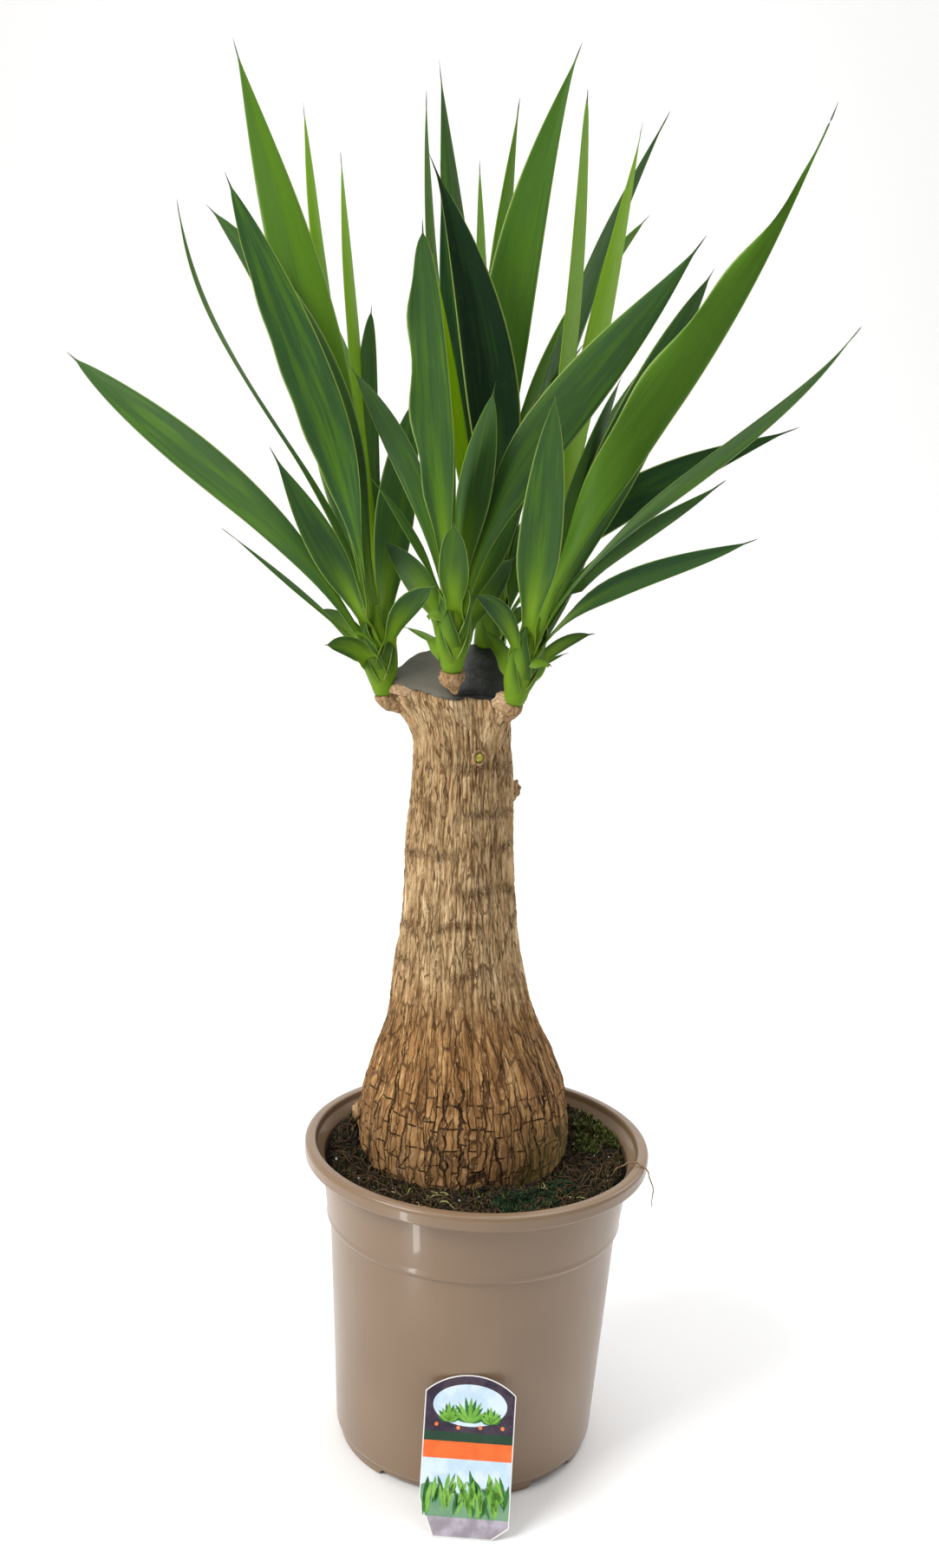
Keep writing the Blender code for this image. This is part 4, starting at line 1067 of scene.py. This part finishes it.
def leaf_ground(finish, tone, streak, stripe, out, share):
    """the blade's green, with another middle towards its foot: a lighter yellow-green for most tones, and for
    tones near 0.62 painted shade, darker and more saturated
    """
    # colour by tone, over the leaf's own green: painted shade at the dark end, a painted bluish sheen (the
    # sky's reflection) in the blue of the stops at 0.22 and 0.45, and painted backlight at the lime end
    colour = finish.ramp(tone, (0.0, 0.0022, 0.01, 0.004), (0.22, 0.023, 0.069, 0.026),
                         (0.45, 0.056, 0.133, 0.033), (0.7, 0.105, 0.245, 0.006),
                         (1.0, 0.27, 0.5, 0.001))
    # the middle's colour: lighter yellow-green for most tones, but near 0.62 painted shade on the lower
    # middle of the big backlit leaves
    light = finish.ramp(tone, (0.0, 0.01, 0.038, 0.008), (0.3, 0.105, 0.245, 0.014),
                        (0.46, 0.125, 0.275, 0.012), (0.62, 0.048, 0.135, 0.002),
                        (1.0, 0.32, 0.56, 0.002))
    middle = finish.times(finish.span(out, 0.6, 0.05), finish.span(share, 0.6, 0.2))
    middle = finish.times(middle, finish.span(streak, 0.34, 0.56, 0.6, 1.0))
    return finish.mix(finish.times(middle, finish.times(stripe, 0.9)), colour, light), light


def leaf_finish():
    finish = Finish("leaf")
    mix, span, times, tint = finish.mix, finish.span, finish.times, finish.tint
    across, along, to_tip = finish.split(finish.values("blade"))
    tone, seed, mark = finish.split(finish.values("mood"))
    upper, stripe = finish.math("GREATER_THAN", mark, 0.0), finish.math("ABSOLUTE", mark)
    out = finish.math("ABSOLUTE", across)
    place = finish.add("CombineXYZ", {0: times(across, 0.016), 1: along,
                                      2: times(seed, 3.0)}).outputs[0]
    streak = finish.noise(finish.stretch(place, 1.0, 0.03, 1.0), 520.0, 4.0, 0.6)
    broad = finish.noise(finish.stretch(place, 1.0, 0.1, 1.0), 120.0, 2.0, 0.5)
    mottle = finish.noise(finish.stretch(place, 1.0, 0.35, 1.0), 300.0, 4.0, 0.65)
    share = finish.math("DIVIDE", along, finish.math("ADD", along, to_tip))
    colour, light = leaf_ground(finish, tone, streak, stripe, out, share)
    colour = tint(colour, light, 0.45, broad, 0.46, 0.66)
    colour = tint(colour, light, 0.4, streak, 0.52, 0.72)
    colour = tint(colour, mix(0.5, colour, (0.008, 0.03, 0.01)), 0.55, streak, 0.46, 0.3)
    colour = tint(colour, (0.08, 0.15, 0.025), 0.18, mottle, 0.6, 0.75)
    lime = mix(span(out, 0.25, 0.85), (0.235, 0.4, 0.018), (0.062, 0.15, 0.009))
    lime = mix(span(along, 0.036, 0.01), lime, (0.185, 0.33, 0.016))
    colour = tint(colour, lime, 0.92, along, 0.07, 0.012)
    colour = tint(colour, (0.37, 0.5, 0.118), 0.8, out, 0.92, 0.978)
    rare = times(span(finish.noise(place, 60.0, 1.0), 0.56, 0.6), 0.6)
    colour = tint(colour, (0.55, 0.6, 0.42), rare, finish.cells(place, 300.0), 0.055, 0.02)
    under = times(finish.math("SUBTRACT", 1.0, upper), 0.2)
    colour = mix(under, colour, (0.11, 0.21, 0.035))
    dry = span(finish.plus(share, streak, 0.01), 0.972, 0.986)
    colour = mix(dry, colour, (0.085, 0.066, 0.052))
    finish.set(Base_Color=colour, Specular_IOR_Level=0.13)
    finish.set(Roughness=span(mottle, 0.3, 0.7, 0.36, 0.52))
    ribs = finish.bump(streak, 0.00022, 0.7)
    finish.set(Normal=finish.bump(mottle, 0.0002, 0.35, ribs))
    glow = mix(0.3, colour, (0.36, 0.66, 0.01))
    through = finish.add("BsdfTranslucent", {"Color": glow, "Normal": ribs})
    joined = finish.add("MixShader", {0: 0.28, 1: finish.shader.outputs[0], 2: through.outputs[0]})
    finish.tree.links.new(joined.outputs[0], finish.tree.nodes["Material Output"].inputs["Surface"])
    return finish.material


def path_length(frames):
    return sum((b[1] - a[1]).length for a, b in zip(frames, frames[1:]))


def leaf_basis(side, number):
    """one leaf with its frames, its length and half the width of its sheath"""
    shoot, leaf = SHOOTS[side], LEAVES[side][number]
    rough_length = path_length(leaf_frames(shoot, leaf, 12))
    stations = int(min(max(rough_length / STATION_STEP, 18), 60))
    frames = leaf_frames(shoot, leaf, stations)
    sheath = SHEATH_HALF * lerp(1.0, UPRIGHT_SHEATH, smooth_step(0.0, 1.0, steepness(shoot, leaf)))
    return leaf, frames, path_length(frames), sheath


def leaf_arrays(side, number, seed):
    """one leaf's points, faces and the two vectors for each vertex"""
    leaf, frames, length, sheath = leaf_basis(side, number)
    needle = min(NEEDLE_LENGTH, 0.08 * length)
    wave = WAVES.get((side, number), (0, 0.0, 1.0))
    half_lighting = HALF_LIGHTING.get((side, number), 0.0)
    stripe = STRIPES.get((side, number), 1.0)
    points, blade, mood = [], [], []
    along = 0.0
    before = frames[0][1]
    for t, point, _, out, upper in frames[:-1]:
        along += (point - before).length
        before = point
        clasp = 1.0 - smooth_step(0.25, 1.0, along / SHEATH_LENGTH)
        reached = min(along / (length - needle), 1.0)
        spine = NEEDLE_HALF * min((length - along) / needle, 1.0)
        half = max(leaf.width * blade_width(reached, leaf.form) / 2, spine)
        bend = lerp(blade_fold(t), NEEDLE_BEND, smooth_step(0.985, 1.0, reached))
        half = lerp(half, max(half, sheath), clasp)
        bend = lerp(bend, SHEATH_BEND, clasp)
        radius = half / bend
        spot = point - upper * max(radius - ROOT_OUT, 0.0) * clasp
        thick = lerp(LEAF_THICK_FOOT, LEAF_THICK_TIP, t) * (1.0 - 0.5 * smooth_step(0.97, 1.0, t))
        for face in (1, 0):
            for s in LEAF_SHARES:
                ripple, swell = margin_wave(s, t, along, seed, wave)
                angle = s * bend
                body = thick * (1.0 - 0.55 * abs(s)**2) * (1.0 - smooth_step(0.9, 1.0, abs(s)) * 0.85)
                offset = body * (0.5 if face else -0.5)
                lift = radius * (1.0 - cos(angle)) + ripple + offset * cos(angle)
                reach = ((half + swell) / bend) * sin(angle) - offset * sin(angle)
                points.append(spot + out * reach + upper * lift)
                blade.append((s, along, length - along))
                # painted light and shade: the right half of some leaves is painted lighter or darker
                tone = leaf.tone + half_lighting * smooth_step(-0.12, 0.12, s)
                mood.append((tone, seed, stripe if face else -stripe))
    points.append(frames[-1][1])
    blade.append((0.0, length, 0.0))
    mood.append((leaf.tone, seed, 1.0))
    return points, leaf_faces(len(frames) - 1), blade, mood


def margin_wave(s, t, along, seed, wave):
    """how far a place on the blade ripples up, and how far its margin swells out"""
    side, size, count = wave
    ripple = RIPPLE * noise.noise(Vector((s * 0.8, along * 16.0, seed * 9.7))) * smooth_step(0.0, 0.3, t)
    if s * side <= 0:
        return ripple, 0.0
    fade = smooth_step(0.15, 0.4, t) * (1.0 - smooth_step(0.78, 0.95, t))
    swell = size * abs(s)**3 * fade
    ripple += swell * sin(2 * pi * count * t)
    return ripple, 0.7 * swell * sin(2 * pi * count * t + 1.2)


def leaf_faces(rows):
    """faces of a closed blade whose rows hold the upper points, then the lower ones"""
    wide, row = LEAF_ACROSS, 2 * LEAF_ACROSS
    end = wide - 1
    faces = []
    for low in range(0, (rows - 1) * row, row):
        high = low + row
        for j in range(end):
            faces.append((low + j, low + j + 1, high + j + 1, high + j))
            faces.append((low + wide + j, high + wide + j, high + wide + j + 1, low + wide + j + 1))
        faces.append((low, high, high + wide, low + wide))
        faces.append((low + end, low + wide + end, high + wide + end, high + end))
    faces.append((*reversed(range(wide)), *range(wide, row)))
    tip, last = rows * row, (rows - 1) * row
    for j in range(end):
        faces.append((last + j, last + j + 1, tip))
        faces.append((last + wide + j + 1, last + wide + j, tip))
    faces.append((last + wide, last, tip))
    faces.append((last + end, last + wide + end, tip))
    return faces


def core_arrays(shoot, seed):
    """the shoot's stem: a short green club with ring scars"""
    axes = cross_axes(shoot.axis)
    points, blade, mood = [], [], []
    for step in shares(CORE_RINGS):
        height = lerp(0.0002, CORE_LENGTH, step)
        share = float(np.interp(height, *CORE_SHAPE))
        for j, turn in enumerate(headings(CORE_SIDES)):
            ring = 0.02 * sin(height * 1500.0) + 0.05 * ring_noise(turn, 1.5, height * 80 + seed)
            width = CORE_RADIUS * share * (1.0 + ring)
            points.append(shoot.foot + shoot.axis * height + width * around(turn, *axes))
            blade.append((0.25 + 0.25 * (j % 2), height * 0.6, 1.0))
            mood.append((0.5, seed, 1.0))
    return points, ring_faces(CORE_RINGS, CORE_SIDES, floor=True), blade, mood


def scale_arrays(shoot, heading, low, tall, seed):
    """a short leaf base that clasps the stem: wide below, its margins closing to a point above"""
    axes = cross_axes(shoot.axis)
    points, blade = [], []
    for t in shares(SCALE_ROWS)[:-1]:
        height = low + tall * t
        wrap = 1.8 * (1.0 - t)**1.1
        swell = float(np.interp(height, *SCALE_SHAPE)) * lerp(0.78, 1.0, smooth_step(0.0, 0.35, t))
        radius = CORE_RADIUS * swell + 0.0012 * smooth_step(0.1, 0.6, t) - 0.002 * smooth_step(0.75, 1.0, t)
        for inset in (0.0006, 0.0):
            for s in LEAF_SHARES:
                turn = heading + s * wrap
                reach = radius + 0.0006 * (1.0 - abs(s)) - inset
                points.append(shoot.foot + shoot.axis * height + around(turn, *axes) * reach)
                blade.append((s, 0.004 + height * 1.2, 0.05))
    tip = shoot.foot + shoot.axis * (low + tall)
    points.append(tip + around(heading, *axes) * (CORE_RADIUS * 1.05 - 0.0008))
    blade.append((0.0, 0.05, 0.05))
    return points, leaf_faces(SCALE_ROWS - 1), blade, [(0.32, seed, 1.0)] * len(points)


def make_shoots():
    finish = leaf_finish()
    for k, (side, shoot) in enumerate(SHOOTS.items()):
        points, faces, blade, mood = core_arrays(shoot, 10.0 * k)
        parts = [leaf_arrays(side, number, k + number * 0.137) for number in range(len(LEAVES[side]))]
        for number, (turn, low, tall) in enumerate(SCALES):
            parts.append(scale_arrays(shoot, turn + 0.22 * k, low, tall, 20.0 + number + k * 0.3))
        for more, skin, where, feel in parts:
            join(points, faces, more, skin)
            blade += where
            mood += feel
        made = piece("foliage_" + side, (points, faces), [finish], "leaf", replaces=("shoot_" + side,))
        add_values(made, "blade", blade)
        add_values(made, "mood", mood)


# Soil

def soil_height(x, y):
    """the bed's height: heaps and lumps on a bank that rises towards the back"""
    spot = Vector((x, y, 0.0))
    heap = 0.003 * noise.noise(spot * 28.0 + Vector((3, 1, 0))) + SOIL_BANK * smooth_step(-0.03, 0.05, y)
    lumps = 0.0022 * noise.noise(spot * 90.0) + 0.0014 * noise.noise(spot * 260.0)
    lowest = SOIL_LEVEL + 0.0004 + 0.0008 * abs(noise.noise(spot * 500.0))
    return max(SOIL_LEVEL + heap + lumps + 0.001, lowest)


def soil_finish():
    finish = Finish("soil")
    coords = finish.object_coords()
    crumb = finish.noise(coords, 420.0, 5.0, 0.75)
    tone = finish.ramp(crumb, (0.3, 0.002, 0.0015, 0.001), (0.5, 0.009, 0.006, 0.004),
                       (0.68, 0.03, 0.019, 0.012), (0.8, 0.075, 0.052, 0.034))
    tone = finish.tint(tone, (0.024, 0.014, 0.007), 0.4, finish.noise(coords, 60.0), 0.55, 0.7)
    finish.set(Base_Color=tone, Roughness=0.95, Specular_IOR_Level=0.15)
    finish.set(Normal=finish.bump(crumb, 0.002, 1.0))
    return finish.material


def make_soil_bed():
    """the bed between the trunk and the wall, standing in the place of the soil's top"""
    inner = smooth_rows(TRUNK_ROWS, SOIL_LEVEL, 1) - 0.004
    wall = wall_radius(SOIL_LEVEL) - GAP
    middle = Vector((trunk_centre(SOIL_LEVEL), TRUNK_Y, 0.0))
    points = []
    for share in shares(BED_RINGS):
        for turn in headings(BED_SIDES):
            spoke = Vector((cos(turn), sin(turn), 0.0))
            spot = (middle + spoke * inner).lerp(spoke * wall, share)
            spot.z = soil_height(spot.x, spot.y) + 0.0035 * sin(pi * share)
            points.append(spot)
    faces = flipped(grid_faces(BED_RINGS, BED_SIDES, around=True))
    low = SOIL_LEVEL - 0.012
    wall = wall_radius(low) - GAP
    start, outer = len(points), (BED_RINGS - 1) * BED_SIDES
    points += [Vector((wall * cos(turn), wall * sin(turn), low)) for turn in headings(BED_SIDES)]
    for j in range(BED_SIDES):
        k = (j + 1) % BED_SIDES
        faces.append((outer + k, outer + j, start + j, start + k))
    piece("soil_bed", (points, faces), [soil_finish()], "soil")


def on_bed(x, y, clear=CLEAR_OF_AXIS):
    """whether a place is on the bed, off the trunk and off the wall"""
    off_axis = hypot(x - trunk_centre(SOIL_LEVEL), y - TRUNK_Y)
    return off_axis > clear and hypot(x, y) < wall_radius(SOIL_LEVEL) - CLEAR_OF_WALL


def bed_spot(draw):
    """a random place on the bed, evenly spread"""
    wall = wall_radius(SOIL_LEVEL) - CLEAR_OF_WALL
    while True:
        x, y = draw.uniform(-wall, wall), draw.uniform(-wall, wall)
        if on_bed(x, y):
            return x, y


def near(places):
    """a chooser of spots inside a few round patches"""
    def choose(draw):
        while True:
            cx, cy, reach = draw.choice(places)
            turn, out = draw.uniform(0, 2 * pi), reach * sqrt(draw.random())
            x, y = cx + out * cos(turn), cy + out * sin(turn)
            if on_bed(x, y):
                return x, y
    return choose


def random_vector(draw, size):
    return Vector([draw.uniform(-size, size) for _ in range(3)])


def chunks(draw, count, sizes, flat):
    """many small irregular stones, each turned and stretched at random"""
    points, faces = [], []
    for _ in range(count):
        x, y = bed_spot(draw)
        size = draw.uniform(*sizes)
        turn = draw.uniform(0, 6.28)
        axis = Vector((draw.gauss(0, 1), draw.gauss(0, 1), 1.5)).normalized()
        turn = Matrix.Rotation(turn, 3, axis)
        stretch = Vector((draw.uniform(0.7, 1.5), draw.uniform(0.6, 1.1), draw.uniform(*flat)))
        centre = Vector((x, y, soil_height(x, y) + 0.0022 + size * draw.uniform(-0.1, 0.5)))
        stone = [centre + turn @ ((Vector(corner) + random_vector(draw, 0.2)) * stretch * size)
                 for corner in CHUNK_POINTS]
        join(points, faces, stone, CHUNK_FACES)
    return points, faces


def tube(points, radius, sides, taper=0.4):
    """a thin closed tube along points, narrower at its ends"""
    skin = []
    for i, point in enumerate(points):
        axes = cross_axes(neighbour_direction(points, i), (0.3, 0.2, 1.0))
        t = min(max(i / (len(points) - 1), 0.02), 0.98)
        width = radius * lerp(taper, 1.0, sin(pi * t))
        skin += [point + width * around(-a, *axes) for a in headings(sides)]
    return skin, flipped(ring_faces(len(points), sides, floor=True))


def strands(draw, count, lengths, radius, spots, rise):
    """thin bent fibres that lie on the bed"""
    points, faces = [], []
    for _ in range(count):
        x, y = spots(draw)
        heading = draw.uniform(0, 2 * pi)
        length = draw.uniform(*lengths)
        bend = draw.uniform(-2.0, 2.0)
        path = []
        for t in shares(7):
            x += cos(heading + bend * t) * length / 6
            y += sin(heading + bend * t) * length / 6
            if not on_bed(x, y, FIBRE_CLEAR_OF_AXIS):
                break
            lift = 0.003 + rise * sin(pi * t) * draw.uniform(0.4, 1.2)
            path.append(Vector((x, y, soil_height(x, y) + lift)))
        if len(path) >= 3:
            join(points, faces, *tube(path, radius * draw.uniform(0.6, 1.3), 5))
    return points, faces


def moss_tufts(draw, count, places, tall):
    """many tiny pointed leaflets standing on low cushions"""
    choose = near(places)
    points, faces = [], []
    for _ in range(count):
        x, y = choose(draw)
        cushion = 0.0022 + 0.0028 * max(noise.noise(Vector((x * 120, y * 120, 2.0))), 0.0)
        base = Vector((x, y, soil_height(x, y) + cushion))
        lean = Vector((draw.gauss(0, 0.6), draw.gauss(0, 0.6), 1.0)).normalized()
        side = lean.cross(Vector((draw.gauss(0, 1), draw.gauss(0, 1), 0.2))).normalized()
        length = draw.uniform(*tall)
        side, middle = side * (length * draw.uniform(0.12, 0.22)), base + lean * length * 0.5
        leaflet = [base - side * 0.6, base + side * 0.6, middle + side, middle - side, base + lean * length]
        join(points, faces, leaflet, ((0, 1, 2, 3), (3, 2, 4)))
    return points, faces


def make_litter():
    """crumbs, perlite, fibres and moss on the bed"""
    draw = random.Random(11)
    for name, finish, low, high, count, sizes, flat in CRUMBS:
        piece(name, chunks(draw, count, sizes, flat), [plain_finish(finish, low, high)], "soil", smooth=False)
    draw = random.Random(23)
    brown = plain_finish("fibre_brown", (0.028, 0.015, 0.007), (0.12, 0.068, 0.032))
    piece("fibres_brown", strands(draw, 420, (0.008, 0.028), 0.00035, bed_spot, 0.004), [brown], "soil")
    straw = plain_finish("fibre_straw", (0.23, 0.22, 0.075), (0.43, 0.4, 0.16))
    shape = strands(draw, 26, (0.01, 0.024), 0.00045, near(STRAW_PLACES), 0.002)
    piece("fibres_straw", shape, [straw], "soil")
    draw = random.Random(31)
    for name, low, high, scale, count, places, tall in MOSSES:
        finish = plain_finish(name, low, high, scale=scale)
        piece(name, moss_tufts(draw, count, places, tall), [finish], "soil", smooth=False)


def make_stray_root():
    """one thin dry root that hangs over the rim at the right"""
    straw = plain_finish("dry_root", (0.13, 0.08, 0.04), (0.3, 0.2, 0.11))
    knots = [Vector(knot) for knot in STRAY_ROOT]
    path = [bezier(*knots, i / 24) + Vector((0.0006 * sin(i * 1.3), 0.0005 * cos(i * 1.7), 0.0))
            for i in range(25)]
    piece("stray_root", tube(path, 0.0006, 6, 0.5), [straw], "soil")


# Label

def label_place(x, up, off=0.0):
    """a point of the card from its sideways and upward place, raised off its face"""
    reach = LABEL_LENGTH * cos(LABEL_LEAN)
    top = LABEL_LENGTH * sin(LABEL_LEAN)
    wall = float(np.interp(top, (FOOT_HEIGHT + 0.0036, STEP_Z), (BODY_FOOT_RADIUS, BODY_TOP_RADIUS)))
    back = LABEL_THICK / 2 / sin(LABEL_LEAN) + GAP
    foot = Vector((LABEL_X, -(wall + back + reach), LABEL_THICK / 2 * cos(LABEL_LEAN)))
    rise = Vector((0.0, cos(LABEL_LEAN), sin(LABEL_LEAN)))
    face = Vector((0.0, -sin(LABEL_LEAN), cos(LABEL_LEAN)))
    return foot + Vector((x, 0.0, 0.0)) + rise * up + face * off


def card_outline(inset=0.0):
    """the card's outline from its foot: two cut corners below and an arch on top"""
    half = LABEL_WIDTH / 2 - inset
    radius = ((LABEL_WIDTH / 2)**2 + LABEL_ARCH**2) / (2 * LABEL_ARCH)
    centre = LABEL_LENGTH - radius
    radius -= inset
    sweep = asin(half / radius)
    left_in, left_up = LABEL_CUT_LEFT
    right_in, right_up = LABEL_CUT_RIGHT
    outline = [(-half + left_in, inset), (half - right_in, inset), (half, right_up + inset)]
    for i in range(CARD_STEPS + 1):
        turn = sweep * (1.0 - 2.0 * i / CARD_STEPS)
        outline.append((radius * sin(turn), centre + radius * cos(turn)))
    outline.append((-half, left_up + inset))
    return outline


def clipped(outline, level, above):
    """the part of a convex outline above or below a level"""
    kept = []
    for (x0, z0), (x1, z1) in zip(outline, outline[1:] + outline[:1]):
        inside = (z0 >= level) == above
        if inside:
            kept.append((x0, z0))
        if inside != ((z1 >= level) == above):
            kept.append((x0 + (x1 - x0) * (level - z0) / (z1 - z0), level))
    return kept


def print_finish(name, low, high):
    finish = Finish(name)
    grain = finish.noise(finish.object_coords(), 90.0, 3.0, 0.6)
    finish.set(Base_Color=finish.mix(finish.span(grain, 0.35, 0.65), low, high))
    finish.set(Roughness=0.3, Specular_IOR_Level=0.5, Coat_Weight=0.3, Coat_Roughness=0.1)
    return finish.material


def make_label():
    outline = card_outline()
    count = len(outline)
    points = [label_place(x, z, off) for off in (LABEL_THICK / 2, -LABEL_THICK / 2) for x, z in outline]
    faces = [tuple(range(count)), tuple(reversed(range(count, 2 * count)))]
    for i in range(count):
        k = (i + 1) % count
        faces.append((k, i, count + i, count + k))
    white = print_finish("card_white", (0.78, 0.78, 0.75), (0.83, 0.83, 0.8))
    piece("label_card", (points, faces), [white], "label", smooth=False, replaces=("plant_label",))
    make_print()


def leaf_shape(x, up, heading, length, width):
    """a pointed lens from its foot, for the printed fans"""
    along = (sin(heading), cos(heading))
    side = (along[1], -along[0])
    shape = []
    for share, wide in ((0.0, 0.15), (0.3, 0.85), (0.55, 1.0), (0.8, 0.6), (1.0, 0.0),
                        (0.8, -0.6), (0.55, -1.0), (0.3, -0.85), (0.0, -0.15)):
        shape.append((x + along[0] * length * share + side[0] * width / 2 * wide,
                      up + along[1] * length * share + side[1] * width / 2 * wide))
    return shape


def make_print():
    """a plain printed design: a leaf fan on a dark field, two bands, and low hills under a sky"""
    names = list(PRINT_COLOURS)
    finishes = [print_finish("print_" + name, *PRINT_COLOURS[name]) for name in names]
    points, faces, slots = [], [], []

    def patch(outline, name, layer):
        off = LABEL_THICK / 2 + PRINT_LAYER * layer
        join(points, faces, [label_place(x, z, off) for x, z in outline], [range(len(outline))])
        slots.append(names.index(name))

    def band(low, high, name):
        patch([(-half, low), (half, low), (half, high), (-half, high)], name, 1)

    inner = card_outline(PRINT_INSET)
    half = LABEL_WIDTH / 2 - PRINT_INSET
    draw = random.Random(5)
    patch(clipped(inner, GREEN_BAND_TOP, above=True), "field", 1)
    patch([(0.0245 * sin(a), 0.0845 + 0.0135 * cos(a)) for a in headings(40)][::-1], "sky", 2)
    for x, reach in ((0.0, 0.0185), (-0.0135, 0.0125), (0.014, 0.012)):
        for i in range(11):
            heading = lerp(-1.25, 1.25, i / 10) + draw.uniform(-0.05, 0.05)
            length = reach * (1.0 - 0.35 * abs(heading) / 1.25) * draw.uniform(0.88, 1.03)
            patch(leaf_shape(x, 0.0735, heading, length, 0.0028), "light" if i % 2 else "dark", 3 + i % 2)
    for x, up in ((-0.0215, 0.0715), (-0.007, 0.07), (0.0075, 0.0708), (0.0222, 0.0712)):
        patch([(x + 0.0013 * cos(a), up + 0.0013 * sin(a)) for a in headings(14)], "bloom", 5)
    band(BAND_TOP, GREEN_BAND_TOP, "green_band")
    band(SKY_TOP, BAND_TOP, "band")
    patch(clipped(inner, SKY_TOP, above=False), "sky", 1)
    patch(clipped(inner, GROUND_TOP, above=False), "ground", 2)
    ridge = [(lerp(-half, half, i / 16), 0.03 + 0.0045 * sin(i * 0.55 + 0.6)) for i in range(17)]
    patch([(-half, 0.0245), (-half + 0.004, GROUND_TOP), (half, GROUND_TOP)] + ridge[::-1], "far_hill", 3)
    for i in range(64):
        x = lerp(-half + 0.002, half - 0.002, draw.random())
        up = draw.uniform(0.0125, 0.028)
        heading = draw.uniform(-0.5, 0.5) - 0.35 * x / half
        length = draw.uniform(0.01, 0.018)
        patch(leaf_shape(x, up, heading, length, draw.uniform(0.0022, 0.0036)),
              "light" if i % 2 else "dark", 4 + i % 2)
    piece("label_print", (points, faces), finishes, "label", smooth=False, slots=slots)


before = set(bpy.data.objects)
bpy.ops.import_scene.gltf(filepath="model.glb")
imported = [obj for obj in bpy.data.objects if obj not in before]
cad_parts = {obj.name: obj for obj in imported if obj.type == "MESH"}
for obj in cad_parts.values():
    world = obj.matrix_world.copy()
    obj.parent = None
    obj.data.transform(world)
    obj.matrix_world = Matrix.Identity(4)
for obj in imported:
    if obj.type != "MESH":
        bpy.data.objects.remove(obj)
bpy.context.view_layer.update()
make_camera()
make_light()
make_floor()
make_pot()
make_soil_bed()
make_litter()
make_stray_root()
make_trunk()
make_stubs()
make_knobs()
make_wax()
make_shoots()
make_label()
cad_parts["soil"].data.materials.clear()
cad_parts["soil"].data.materials.append(bpy.data.materials["soil"])
